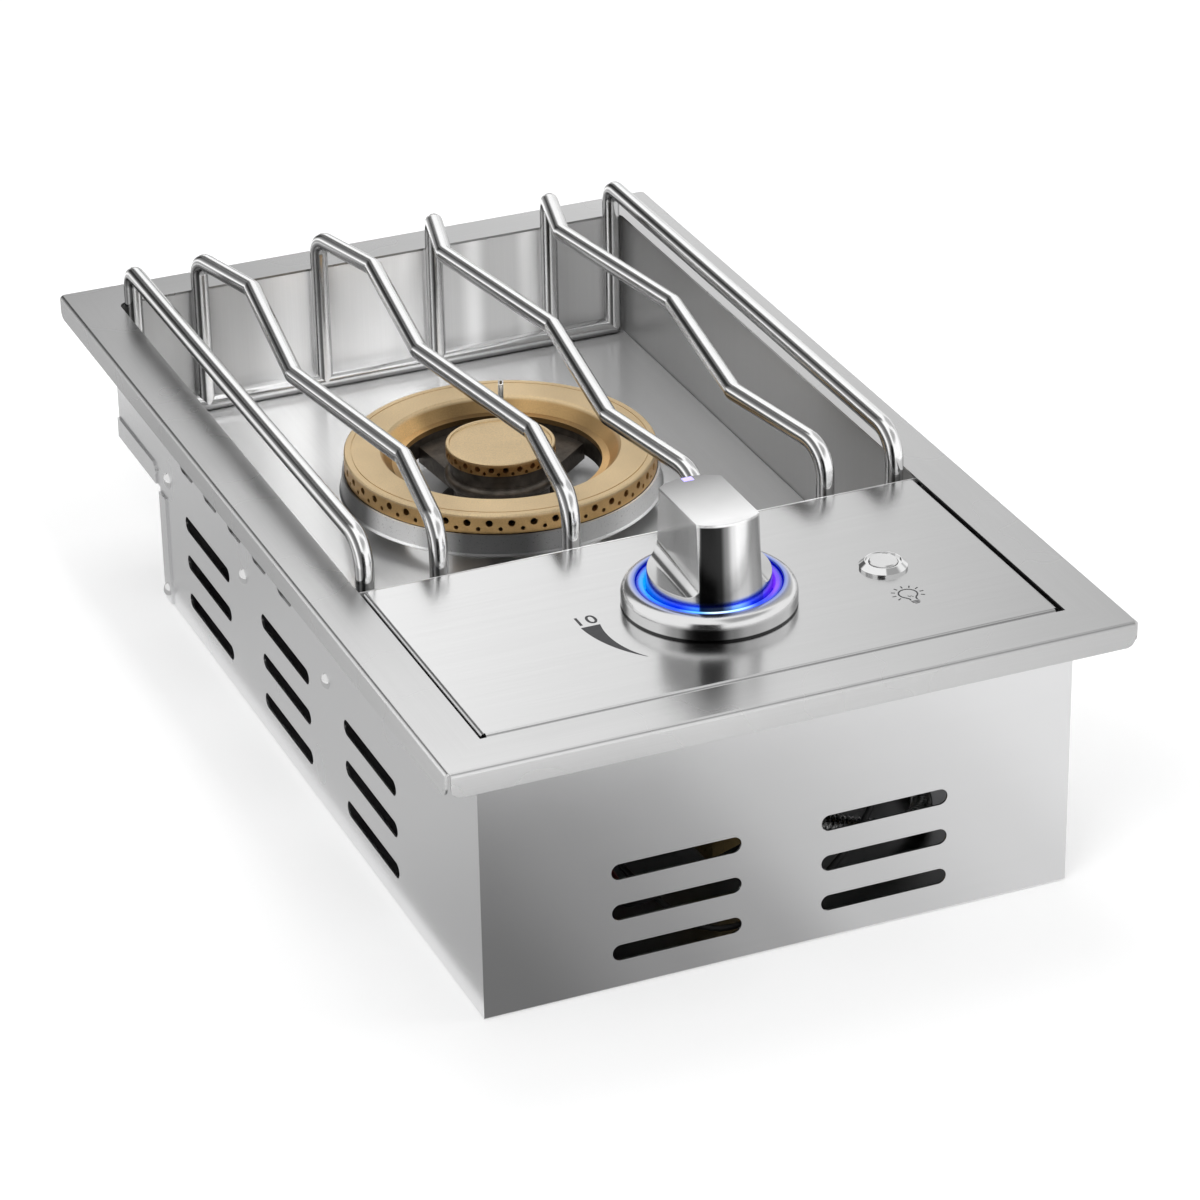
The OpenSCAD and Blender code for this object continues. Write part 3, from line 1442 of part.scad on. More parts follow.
module hose_nuts() {
    color("goldenrod") {
        translate([block_w / 2 + nipple_l - nut_over, inlet_y, inlet_z]) rotate([0, 90, 0]) hose_nut();
        translate([inlet_x, step_y - sheet_t - fitting_in_l + nut_over, inlet_rear_z]) rotate([90, 0, 0])
            hose_nut();
    }
}

module gas_inlet_fitting() {
    color("goldenrod") translate([inlet_x, step_y, inlet_rear_z]) rotate([-90, 0, 0]) difference() {
        union() {
            translate([0, 0, -sheet_t - fitting_in_l]) cylinder(r = nipple_r, h = fitting_in_l + sheet_t);
            translate([0, 0, -sheet_t - lock_nut_h]) cylinder(r = fitting_out_r, h = lock_nut_h + sheet_t);
            cylinder(r = fitting_hex_r, h = fitting_hex_h, $fn = 6);
            translate([0, 0, fitting_hex_h]) cylinder(r = fitting_out_r, h = fitting_out_l);
        }
        translate([0, 0, -sheet_t - fitting_in_l - cut])
            cylinder(r = fitting_bore_r, h = sheet_t + fitting_in_l + fitting_hex_h + fitting_out_l + 2 * cut);
    }
}

module inlet_lock_nut() {
    color("goldenrod") translate([inlet_x, step_y - sheet_t, inlet_rear_z]) rotate([90, 0, 0])
        hex_nut(fitting_hex_r, lock_nut_h, fitting_out_r + screw_gap);
}

// Grate
module cross_bar_cut() {
    for (y = [post_front_y, post_back_y]) translate([0, y, bar_z]) rotate([0, 90, 0])
        cylinder(r = rod_r, h = frame_w, center = true);
}

module grate_cross_bars() {
    length = 2 * (outer_rod_x + bar_over);
    color("silver") for (y = [post_front_y, post_back_y]) translate([0, y, bar_z]) rotate([0, 90, 0])
        cylinder(r = rod_r, h = length, center = true);
}

module bent_grate_rod(x) {
    points = [
        [x, post_back_y, bar_z], [x, post_back_y, rod_z],
        [x - zig_in, bend_back_y, rod_z], [x + zig_out, bend_mid_y, rod_z], [x - zig_in, bend_front_y, rod_z],
        [x, post_front_y, rod_z], [x, post_front_y, bar_z]
    ];
    bends = [0, back_bend_r, zig_bend_r, zig_bend_r, zig_bend_r, post_bend_r, 0];
    color("silver") difference() {
        bent_rod(points, bends, rod_r);
        cross_bar_cut();
    }
}

module straight_grate_rod(x) {
    points = [[x, post_back_y, bar_z], [x, post_back_y, rod_z], [x, post_front_y, rod_z], [x, post_front_y, bar_z]];
    color("silver") difference() {
        bent_rod(points, [0, back_bend_r, post_bend_r, 0], rod_r);
        cross_bar_cut();
    }
}

module grate_outer_rod_left() {
    mirror([1, 0, 0]) straight_grate_rod(outer_rod_x);
}

module grate_outer_rod_right() {
    straight_grate_rod(outer_rod_x);
}

module grate_middle_rod_left() {
    mirror([1, 0, 0]) bent_grate_rod(middle_rod_x);
}

module grate_middle_rod_right() {
    bent_grate_rod(middle_rod_x);
}

module grate_inner_rod_left() {
    mirror([1, 0, 0]) bent_grate_rod(inner_rod_x);
}

module grate_inner_rod_right() {
    bent_grate_rod(inner_rod_x);
}

top_frame();
control_panel();
panel_ledges();
front_panel();
left_side_panel();
right_side_panel();
rear_upper_panel();
rear_cover();
bottom_pan();
tray_walls();
tray_floor();
tray_rails();
side_screws();
burner_casting();
burner_cup();
flame_ring();
centre_cap();
burner_screws();
mixing_tube();
air_shutter();
gas_orifice();
valve_body();
valve_plug();
valve_bonnet();
valve_screws();
valve_bracket();
valve_stem();
stem_spring();
knob();
knob_pointer();
knob_bezel();
bezel_nuts();
light_ring();
light_board();
light_button();
button_housing();
button_nut();
button_spring();
button_switch();
igniter_electrode();
electrode_wire();
electrode_clip();
ignition_lead();
igniter_module();
valve_microswitch();
switch_lead();
battery_box();
light_leads();
gas_hose();
hose_nuts();
gas_inlet_fitting();
inlet_lock_nut();
grate_outer_rod_left();
grate_outer_rod_right();
grate_middle_rod_left();
grate_middle_rod_right();
grate_inner_rod_left();
grate_inner_rod_right();
grate_cross_bars();
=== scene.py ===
"""Surfaces, rods, marks and lighting of a drop-in gas side burner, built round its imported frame."""
import math
import bpy
from bpy.props import FloatProperty, FloatVectorProperty, IntProperty, PointerProperty, StringProperty
from mathutils import Matrix, Vector


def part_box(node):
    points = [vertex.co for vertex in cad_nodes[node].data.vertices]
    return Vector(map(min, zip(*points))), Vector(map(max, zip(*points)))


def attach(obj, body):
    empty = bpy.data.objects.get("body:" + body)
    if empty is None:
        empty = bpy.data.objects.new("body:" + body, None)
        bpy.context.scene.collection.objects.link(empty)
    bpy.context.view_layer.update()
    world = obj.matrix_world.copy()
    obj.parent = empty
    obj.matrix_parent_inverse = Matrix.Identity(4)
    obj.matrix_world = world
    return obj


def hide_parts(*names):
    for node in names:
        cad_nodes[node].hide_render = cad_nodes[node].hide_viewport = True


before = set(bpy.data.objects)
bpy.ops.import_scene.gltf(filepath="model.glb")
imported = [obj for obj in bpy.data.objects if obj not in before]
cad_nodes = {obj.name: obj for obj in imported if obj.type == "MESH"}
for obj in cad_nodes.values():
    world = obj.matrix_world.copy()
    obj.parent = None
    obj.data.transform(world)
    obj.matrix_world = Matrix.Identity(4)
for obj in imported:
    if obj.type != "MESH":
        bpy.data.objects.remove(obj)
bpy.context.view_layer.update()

bl_info = {
    "name": "Side Burner Builder",
    "version": (1, 0, 0),
    "blender": (4, 5, 0),
    "location": "View3D > Sidebar > Side Burner",
    "description": "Builds the rods, sheet edges, knob, marks and finishes of a drop-in gas side burner",
    "category": "Object",
}

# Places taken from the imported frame, in metres
frame_low, frame_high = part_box("top_frame")
panel_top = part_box("control_panel")[1].z
bezel_low, bezel_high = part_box("knob_bezel")
ring_low, ring_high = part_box("flame_ring")
bars_low, bars_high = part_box("grate_cross_bars")
outer_low, outer_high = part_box("grate_outer_rod_right")
middle_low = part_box("grate_middle_rod_right")[0]
inner_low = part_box("grate_inner_rod_right")[0]
knob_x = (bezel_low.x + bezel_high.x) / 2
knob_y = (bezel_low.y + bezel_high.y) / 2
burner_x = (ring_low.x + ring_high.x) / 2
burner_y = (ring_low.y + ring_high.y) / 2

# Points closer than this become one, in metres
merge_gap = 0.0000005


# ---------------------------------------------------------------- settings
class SheetSettings(bpy.types.PropertyGroup):
    edge: FloatProperty(name="Frame edge", description="Radius broken onto the edges of the frame's sheet",
                        default=0.0004, min=0.0, unit="LENGTH")
    panel_edge: FloatProperty(name="Panel edge",
                              description="Radius broken onto the edges of the control panel",
                              default=0.0003, min=0.0, unit="LENGTH")
    frame_tone: FloatVectorProperty(name="Frame tone", description="Colour of the frame's brushed sheet",
                                    subtype="COLOR", size=3, default=(0.575, 0.575, 0.575), min=0, max=1)
    panel_tone: FloatVectorProperty(name="Panel tone",
                                    description="Colour of the control panel's brushed sheet",
                                    subtype="COLOR", size=3, default=(0.78, 0.78, 0.78), min=0, max=1)
    casing_tone: FloatVectorProperty(name="Casing tone", description="Colour of the casing's sheet",
                                     subtype="COLOR", size=3, default=(0.78, 0.78, 0.785), min=0, max=1)
    tray_tone: FloatVectorProperty(name="Tray tone", description="Colour of the burner tray's sheet",
                                   subtype="COLOR", size=3, default=(0.84, 0.84, 0.84), min=0, max=1)


class GrateSettings(bpy.types.PropertyGroup):
    rod_radius: FloatProperty(name="Rod radius", description="Radius of the grate's rods",
                              default=0.0045, min=0.001, unit="LENGTH")
    post_bend: FloatProperty(name="Post bend", description="Centre line radius where a rod turns down",
                             default=0.014, min=0.005, unit="LENGTH")
    back_bend: FloatProperty(name="Back bend",
                             description="Centre line radius where a rod turns down at the back",
                             default=0.0085, min=0.005, unit="LENGTH")
    zig_bend: FloatProperty(name="Side bend", description="Centre line radius of the sideways bends",
                            default=0.009, min=0.005, unit="LENGTH")
    sides: IntProperty(name="Rod sides", description="Faces round a rod", default=32, min=8)
    bend_steps: IntProperty(name="Bend steps", description="Rings in each bend", default=10, min=2)
    tone: FloatVectorProperty(name="Rod tone", description="Colour of the polished rods",
                              subtype="COLOR", size=3, default=(0.95, 0.95, 0.95), min=0, max=1)


class BurnerSettings(bpy.types.PropertyGroup):
    brass: FloatVectorProperty(name="Brass", description="Colour of the blasted brass",
                               subtype="COLOR", size=3, default=(0.86, 0.66, 0.40), min=0, max=1)
    iron: FloatVectorProperty(name="Cast iron", description="Colour of the burner's casting",
                              subtype="COLOR", size=3, default=(0.09, 0.078, 0.066), min=0, max=1)
    cup_lip: FloatProperty(name="Cup lip", description="Radius of the cup's rolled lower lip",
                           default=0.0006, min=0.0001, unit="LENGTH")


class KnobSettings(bpy.types.PropertyGroup):
    edge: FloatProperty(name="Knob edge", description="Radius broken onto the knob's edges",
                        default=0.0007, min=0.0, unit="LENGTH")
    tone: FloatVectorProperty(name="Knob tone", description="Colour of the knob's satin metal",
                              subtype="COLOR", size=3, default=(0.80, 0.80, 0.80), min=0, max=1)
    chrome: FloatVectorProperty(name="Bezel tone", description="Colour of the satin chrome bezel",
                                subtype="COLOR", size=3, default=(0.78, 0.78, 0.78), min=0, max=1)
    glow: FloatProperty(name="Ring glow", description="Strength of the light ring", default=1.5, min=0.0)


class MarkSettings(bpy.types.PropertyGroup):
    ink: FloatVectorProperty(name="Ink", description="Colour of the printed marks",
                             subtype="COLOR", size=3, default=(0.035, 0.035, 0.038), min=0, max=1)
    ink_height: FloatProperty(name="Ink height", description="How far the print stands on the panel",
                              default=0.00004, min=0.00001, unit="LENGTH")
    number: StringProperty(name="Number",
                           description="Plain number at the wide end of the flame mark", default="10")
    number_size: FloatProperty(name="Number size", description="Height of the number's type",
                               default=0.0108, min=0.001, unit="LENGTH")


class StageSettings(bpy.types.PropertyGroup):
    azimuth: FloatProperty(name="Azimuth", description="Camera's turn round the burner", default=-22.53)
    elevation: FloatProperty(name="Elevation", description="Camera's height angle", default=27.56)
    roll: FloatProperty(name="Roll", description="Camera's tilt", default=-1.06)
    distance: FloatProperty(name="Distance", description="Camera's distance from its target",
                            default=2.05062, unit="LENGTH")
    lens: FloatProperty(name="Lens", description="Focal length in millimetres", default=137.03)
    target: FloatVectorProperty(name="Target", description="Point at the middle of the picture", size=3,
                                subtype="TRANSLATION", default=(-0.04421, -0.15617, 0.139))
    floor_tone: FloatProperty(name="Floor tone", description="Brightness of the pale floor", default=0.8,
                              min=0.0, max=1.0)


# ---------------------------------------------------------------- bench tools
def put_down():
    """Leaves edit mode and deselects everything."""
    if bpy.context.object and bpy.context.object.mode != "OBJECT":
        bpy.ops.object.mode_set(mode="OBJECT")
    bpy.ops.object.select_all(action="DESELECT")


def pick_up(piece):
    """Makes one piece the only selected and the active one."""
    put_down()
    piece.select_set(True)
    bpy.context.view_layer.objects.active = piece
    return piece


def edit(piece):
    """Opens a piece in edit mode with all of it selected."""
    pick_up(piece)
    bpy.ops.object.mode_set(mode="EDIT")
    bpy.ops.mesh.select_all(action="SELECT")


def close_up(merge=True, fill=False):
    """Merges doubled points, fills open ends, turns the faces outward and leaves edit mode."""
    bpy.ops.mesh.select_all(action="SELECT")
    if merge:
        bpy.ops.mesh.remove_doubles(threshold=merge_gap)
    if fill:
        bpy.ops.mesh.fill_holes(sides=0)
    bpy.ops.mesh.normals_make_consistent(inside=False)
    bpy.ops.object.mode_set(mode="OBJECT")


def bake_place():
    """Bakes the picked piece's place, turn and size into its mesh."""
    bpy.ops.object.transform_apply(location=True, rotation=True, scale=True)


def set_out(name, data):
    """Puts a new object with this data in the scene."""
    piece = bpy.data.objects.new(name, data)
    bpy.context.scene.collection.objects.link(piece)
    return piece


def meshed(name, curve):
    """Turns a curve into a mesh piece."""
    pick_up(set_out(name, curve))
    bpy.ops.object.convert(target="MESH")
    return bpy.context.object


def new_piece(name):
    """Names the primitive that was just added and bakes its place into its mesh."""
    piece = bpy.context.object
    piece.name = name
    piece.data.name = name
    bake_place()
    return piece


def apply_modifier(piece, kind, name, **values):
    """Adds a modifier, sets its values and applies it."""
    pick_up(piece)
    modifier = piece.modifiers.new(name, kind)
    for key, value in values.items():
        setattr(modifier, key, value)
    bpy.ops.object.modifier_apply(modifier=modifier.name)
    return piece


def smooth(piece, angle=35.0):
    """Shades a piece smooth across edges below the angle."""
    pick_up(piece)
    bpy.ops.object.shade_smooth_by_angle(angle=math.radians(angle))
    return piece


def finish(piece, body, material, slot, *nodes):
    """Gives a piece its finish, its body and the nodes that it stands for."""
    piece.data.materials.clear()
    piece.data.materials.append(material)
    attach(piece, body)
    if nodes:
        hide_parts(*nodes)
    return piece


def refinish(material, *nodes):
    """Gives carried-over nodes a finish."""
    for name in nodes:
        for index in range(len(cad_nodes[name].material_slots)):
            cad_nodes[name].material_slots[index].material = material


def cleaned_copy(node, name):
    """A merged copy of a node's mesh, with flat faces joined again."""
    put_down()
    piece = set_out(name, cad_nodes[node].data.copy())
    edit(piece)
    bpy.ops.mesh.remove_doubles(threshold=0.000004)
    bpy.ops.mesh.dissolve_limited(angle_limit=math.radians(0.2))
    bpy.ops.object.mode_set(mode="OBJECT")
    bpy.ops.mesh.customdata_custom_splitnormals_clear()
    return piece


def evened(piece):
    """Turns the shading so that the large flat faces of a piece stay flat."""
    return apply_modifier(piece, "WEIGHTED_NORMAL", "even", mode="FACE_AREA", weight=50, keep_sharp=True)


def broken_edges(piece, width, segments=2, angle=40.0, angle_smooth=35.0):
    """Breaks a piece's sharp edges with a small round."""
    apply_modifier(piece, "BEVEL", "edge", width=width, segments=segments, limit_method="ANGLE",
                   angle_limit=math.radians(angle), use_clamp_overlap=True, harden_normals=False)
    return evened(smooth(piece, angle_smooth))


def turned(name, centre, profile, segments=128):
    """A closed turned piece: the profile's (radius, height) points are extruded ring by ring."""
    put_down()
    radius, height = profile[0]
    bpy.ops.mesh.primitive_circle_add(vertices=segments, radius=radius, fill_type="NOTHING",
                                      location=(centre[0], centre[1], centre[2] + height))
    piece = new_piece(name)
    edit(piece)
    for next_radius, next_height in profile[1:]:
        bpy.ops.mesh.extrude_region_move(TRANSFORM_OT_translate={"value": (0, 0, next_height - height)})
        factor = next_radius / radius
        bpy.ops.transform.resize(value=(factor, factor, 1),
                                 center_override=(centre[0], centre[1], centre[2] + next_height))
        radius, height = next_radius, next_height
    close_up()
    return piece


def arc_points(centre, radius, start, end, steps):
    """Points of an arc in a profile."""
    return [(centre[0] + radius * math.cos(math.radians(start + (end - start) * i / steps)),
             centre[1] + radius * math.sin(math.radians(start + (end - start) * i / steps)))
            for i in range(steps + 1)]


def bent_rod(name, points, bends, radius, sides, steps):
    """A round rod through the points: extruded along its straights and spun round its bends."""
    points = [Vector(p) for p in points]
    ways = [(b - a).normalized() for a, b in zip(points, points[1:])]
    put_down()
    bpy.ops.mesh.primitive_circle_add(vertices=sides, radius=radius, fill_type="NOTHING", location=points[0],
                                      rotation=ways[0].to_track_quat("Z", "Y").to_euler())
    piece = new_piece(name)
    edit(piece)
    place = points[0]
    for i in range(1, len(points)):
        if i == len(points) - 1:
            bpy.ops.mesh.extrude_region_move(TRANSFORM_OT_translate={"value": points[i] - place})
            break
        turn = ways[i - 1].angle(ways[i])
        reach = bends[i] * math.tan(turn / 2)
        bend_start = points[i] - ways[i - 1] * reach
        bpy.ops.mesh.extrude_region_move(TRANSFORM_OT_translate={"value": bend_start - place})
        normal = ways[i - 1].cross(ways[i]).normalized()
        inward = normal.cross(ways[i - 1]).normalized()
        bpy.ops.mesh.spin(steps=steps, angle=turn, center=bend_start + inward * bends[i], axis=-normal)
        place = points[i] + ways[i] * reach
    close_up(fill=True)
    return smooth(piece, 50)


def moved_copy(piece, name, offset=(0, 0, 0), mirror=False):
    """A copy with its own mesh, moved, or mirrored to the other side of the middle."""
    put_down()
    copy = set_out(name, piece.data.copy())
    copy.location = offset
    copy.scale = (-1, 1, 1) if mirror else (1, 1, 1)
    pick_up(copy)
    bake_place()
    if mirror:
        edit(copy)
        close_up(merge=False)
    return copy


def join(pieces, name):
    """Joins pieces into one object."""
    put_down()
    for piece in pieces:
        piece.select_set(True)
    bpy.context.view_layer.objects.active = pieces[0]
    bpy.ops.object.join()
    joined = bpy.context.object
    joined.name = name
    joined.data.name = name
    return joined


def flat_print(name, outlines, height, thickness):
    """Flat closed outlines, filled and given a little thickness, as a mesh on a level."""
    put_down()
    curve = bpy.data.curves.new(name, "CURVE")
    curve.dimensions = "2D"
    curve.fill_mode = "BOTH"
    curve.extrude = thickness / 2
    for outline in outlines:
        spline = curve.splines.new("POLY")
        spline.points.add(len(outline) - 1)
        for point, (x, y) in zip(spline.points, outline):
            point.co = (x, y, 0, 1)
        spline.use_cyclic_u = True
    piece = meshed(name, curve)
    piece.location = (0, 0, height + thickness / 2)
    bake_place()
    edit(piece)
    close_up()
    return piece


def stroke(points, width):
    """Outline of a pen stroke of even width along the points."""
    left, right = [], []
    for i, (x, y) in enumerate(points):
        ax, ay = points[max(i - 1, 0)]
        bx, by = points[min(i + 1, len(points) - 1)]
        length = math.hypot(bx - ax, by - ay)
        nx, ny = -(by - ay) / length * width / 2, (bx - ax) / length * width / 2
        left.append((x + nx, y + ny))
        right.append((x - nx, y - ny))
    return left + right[::-1]


def smooth_route(route, steps):
    """The same smooth line through a route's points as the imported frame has."""
    points = [Vector(p) / 1000 for p in route]
    line = []
    for i in range(len(points) - 1):
        before = points[i - 1] if i else points[0] * 2 - points[1]
        after = points[i + 2] if i < len(points) - 2 else points[i + 1] * 2 - points[i]
        b, c = points[i], points[i + 1]
        for k in range(steps):
            t = k / steps
            line.append(0.5 * ((2 * b) + (c - before) * t + (2 * before - 5 * b + 4 * c - after) * t * t
                               + (3 * b - before - 3 * c + after) * t * t * t))
    return line + [points[-1]]


def tube_along(name, line, radii, sides, capped=True):
    """A tube along a line with a radius at each of its points, as a mesh."""
    put_down()
    curve = bpy.data.curves.new(name, "CURVE")
    curve.dimensions = "3D"
    curve.bevel_depth = 1.0
    curve.bevel_resolution = max(sides // 2 - 2, 0) // 2
    curve.use_fill_caps = capped
    spline = curve.splines.new("POLY")
    spline.points.add(len(line) - 1)
    for point, place, radius in zip(spline.points, line, radii):
        point.co = (*place, 1)
        point.radius = radius
    piece = meshed(name, curve)
    edit(piece)
    close_up()
    return piece


def even_steps(line, spacing):
    """Points every so far along a line, with their distances."""
    lengths = [0.0]
    for a, b in zip(line, line[1:]):
        lengths.append(lengths[-1] + (b - a).length)
    count = max(int(lengths[-1] / spacing), 2)
    result, j = [], 0
    for i in range(count + 1):
        s = lengths[-1] * i / count
        while j < len(line) - 2 and lengths[j + 1] < s:
            j += 1
        span = lengths[j + 1] - lengths[j]
        result.append((line[j].lerp(line[j + 1], (s - lengths[j]) / span if span else 0), s))
    return result, lengths[-1]


# ---------------------------------------------------------------- finishes
class Wiring:
    """A node tree, with short ways to add and join the nodes that finishes and studio share."""

    def __init__(self, tree):
        self.tree = tree

    def add(self, kind, **values):
        node = self.tree.nodes.new("ShaderNode" + kind)
        for key, value in values.items():
            setattr(node, key, value)
        return node

    def link(self, start, end):
        self.tree.links.new(start, end)

    def enter(self, entry, value):
        """Gives an entry a plain value or another node's result."""
        if isinstance(value, (int, float)):
            entry.default_value = value
        elif isinstance(value, tuple):
            entry.default_value = (*value, 1)
        else:
            self.link(value, entry)

    def sum(self, operation, *values):
        node = self.add("Math", operation=operation)
        for entry, value in zip(node.inputs, values):
            self.enter(entry, value)
        return node.outputs[0]

    def spread(self, value, low, high, from_low=0.3, from_high=0.7, **kind):
        node = self.add("MapRange", **kind)
        node.inputs["From Min"].default_value = from_low
        node.inputs["From Max"].default_value = from_high
        node.inputs["To Min"].default_value = low
        node.inputs["To Max"].default_value = high
        self.link(value, node.inputs["Value"])
        return node.outputs["Result"]

    def split(self, value):
        """The X, Y and Z of a place or direction."""
        node = self.add("SeparateXYZ")
        self.link(value, node.inputs[0])
        return [node.outputs[axis] for axis in "XYZ"]

    def seen(self):
        """Rays that look at a thing straight, in a mirror or through glass; first the straight ones."""
        rays = self.add("LightPath").outputs
        straight = rays["Is Camera Ray"]
        either = self.sum("MAXIMUM", straight, rays["Is Glossy Ray"])
        return straight, self.sum("MAXIMUM", either, rays["Is Transmission Ray"])


class Finish(Wiring):
    """A material's nodes, with the steps that most finishes take."""

    def __init__(self, name, metallic=0.0, roughness=0.5, colour=(0.8, 0.8, 0.8)):
        self.material = bpy.data.materials.new(name)
        self.material.use_nodes = True
        super().__init__(self.material.node_tree)
        self.shader = self.tree.nodes["Principled BSDF"]
        self.coords = self.add("TexCoord").outputs["Object"]
        self.colour = tuple(colour)
        self.roughness = roughness
        self.shader.inputs["Metallic"].default_value = metallic
        self.shader.inputs["Roughness"].default_value = roughness
        self.shader.inputs["Base Color"].default_value = (*colour, 1)

    def feed(self, entry, value):
        self.link(value, self.shader.inputs[entry])

    def placed(self, scale, centre=(0, 0, 0)):
        node = self.add("Mapping", vector_type="POINT")
        node.inputs["Scale"].default_value = scale
        node.inputs["Location"].default_value = centre
        self.link(self.coords, node.inputs["Vector"])
        return node.outputs["Vector"]

    def centred(self, x, y):
        """X, Y and Z measured from an upright axis."""
        return self.split(self.placed((1, 1, 1), (-x, -y, 0)))

    def noise(self, scale, detail=2.0, rough=0.5):
        node = self.add("TexNoise")
        node.inputs["Scale"].default_value = 1.0
        node.inputs["Detail"].default_value = detail
        node.inputs["Roughness"].default_value = rough
        self.link(self.placed(scale if isinstance(scale, tuple) else (scale,) * 3), node.inputs["Vector"])
        return node.outputs["Fac"]

    def turn(self, across, along):
        """The angle of two measures, as 0 to 1 over a whole turn."""
        return self.spread(self.sum("ARCTAN2", across, along), 0.0, 1.0, -math.pi, math.pi)

    def front_turn(self, x, y):
        """The angle from the front round to the right, as 0 to 1."""
        return self.turn(x, self.sum("MULTIPLY", y, -1.0))

    def radius(self, x, y):
        return self.sum("SQRT", self.sum("ADD", self.sum("MULTIPLY", x, x), self.sum("MULTIPLY", y, y)))

    def either(self, factor, low, high):
        node = self.add("Mix", data_type="FLOAT")
        for index, value in ((0, factor), (2, low), (3, high)):
            self.enter(node.inputs[index], value)
        return node.outputs[0]

    def blend(self, factor, low, high, **kind):
        """Mixes two colours, each a plain one or another node's result."""
        node = self.add("Mix", data_type="RGBA", **kind)
        for index, value in ((0, factor), (6, low), (7, high)):
            self.enter(node.inputs[index], value)
        return node.outputs[2]

    def ramp(self, value, stops):
        node = self.add("ValToRGB")
        node.color_ramp.interpolation = "EASE"
        elements = node.color_ramp.elements
        elements[0].position, elements[0].color = stops[0][0], (*stops[0][1], 1)
        elements[1].position, elements[1].color = stops[-1][0], (*stops[-1][1], 1)
        for position, colour in stops[1:-1]:
            elements.new(position).color = (*colour, 1)
        self.link(value, node.inputs["Fac"])
        return node.outputs["Color"]

    def grey_ramp(self, value, stops, start, end):
        """A ramp of grey tones whose stops are measured from start to end."""
        return self.ramp(value, [((place - start) / (end - start), (tone,) * 3) for place, tone in stops])

    def clouded(self, value, low, high):
        """The finish's colour, varied from a darker to a lighter one."""
        return self.blend(self.spread(value, 0, 1), shade(self.colour, low), shade(self.colour, high))

    def scaled(self, colours, level):
        node = self.add("VectorMath", operation="SCALE")
        self.link(colours, node.inputs[0])
        self.link(level, node.inputs["Scale"])
        return node.outputs[0]

    def roughen(self, value, low, high):
        self.feed("Roughness", self.spread(value, self.roughness * low, self.roughness * high))

    def bumped(self, heights, distance):
        """Heights is a list of (value, strength); each bump feeds the next."""
        normal = None
        for value, strength in heights:
            node = self.add("Bump")
            node.inputs["Strength"].default_value = strength
            node.inputs["Distance"].default_value = distance
            self.link(value, node.inputs["Height"])
            if normal is not None:
                self.link(normal, node.inputs["Normal"])
            normal = node.outputs["Normal"]
        self.feed("Normal", normal)


def shade(colour, factor):
    """A colour made lighter or darker."""
    return tuple(min(max(c * factor, 0.0), 1.0) for c in colour)


def brushed(name, colour, along="X", roughness=0.26, tone=0.035, depth=0.5, mitre=None, sheen_slope=(0.0, 0.0, 0.0),
            reflection_bands=None, metallic=1.0, fine=2200.0, long=14.0):
    """Brushed sheet: fine scratches along one axis, and a painted sheen, a slow change of tone that stands in
    for reflected light.

    Mitre holds the half width and half depth of a frame whose end strips are brushed along X and whose side
    strips along Y. Sheen slope holds the painted sheen's change of tone along X, along Y and along X times Y.
    Reflection bands are (x, tone) pairs across the piece: painted reflections in light and dark bands.
    """
    skin = Finish(name, metallic, roughness, colour)
    x, y, z = skin.split(skin.coords)

    def marks(way):
        def stretched(across, length):
            return tuple(length if axis == way else across for axis in "XYZ")
        return (skin.noise(stretched(fine, long), 3.0, 0.6),
                skin.noise(stretched(fine / 9, long / 3), 2.0, 0.55))

    scratches, streaks = marks(along)
    if mitre:
        gaps = [skin.sum("SUBTRACT", half, skin.sum("ABSOLUTE", axis)) for half, axis in zip(mitre, (x, y))]
        ends = skin.sum("GREATER_THAN", gaps[0], gaps[1])
        other = marks("X" if along == "Y" else "Y")
        scratches = skin.either(ends, scratches, other[0])
        streaks = skin.either(ends, streaks, other[1])
    both = skin.sum("ADD", skin.spread(scratches, -0.5, 0.5), skin.spread(streaks, 0.25, 0.75))
    tones = skin.blend(skin.spread(both, 0, 1, 0.0, 1.0), shade(colour, 1 - tone), shade(colour, 1 + tone))
    # Painted sheen: the tone is scaled along X and Y, and by the bands of painted reflection.
    level = skin.sum("MULTIPLY_ADD", x, sheen_slope[0], 1.0)
    level = skin.sum("MULTIPLY_ADD", y, sheen_slope[1], level)
    level = skin.sum("MULTIPLY_ADD", skin.sum("MULTIPLY", x, y), sheen_slope[2], level)
    if reflection_bands:
        low, high = reflection_bands[0][0], reflection_bands[-1][0]
        across = skin.spread(x, 0.0, 1.0, low, high)
        level = skin.sum("MULTIPLY", level, skin.grey_ramp(across, reflection_bands, low, high))
    skin.feed("Base Color", skin.scaled(tones, level))
    skin.roughen(skin.noise(14.0), 0.92, 1.08)
    skin.bumped([(streaks, depth * 0.12), (scratches, depth)], 0.000012)
    return skin.material


def polished(name, colour, roughness=0.12, depth=0.12, scale=700.0):
    """Bright drawn or turned metal with a trace of fine marks."""
    skin = Finish(name, 1.0, roughness, colour)
    marks = skin.noise((scale, scale / 6, scale))
    skin.feed("Base Color", skin.clouded(skin.noise(35.0), 0.97, 1.03))
    skin.roughen(marks, 0.8, 1.25)
    skin.bumped([(marks, depth)], 0.000008)
    return skin.material


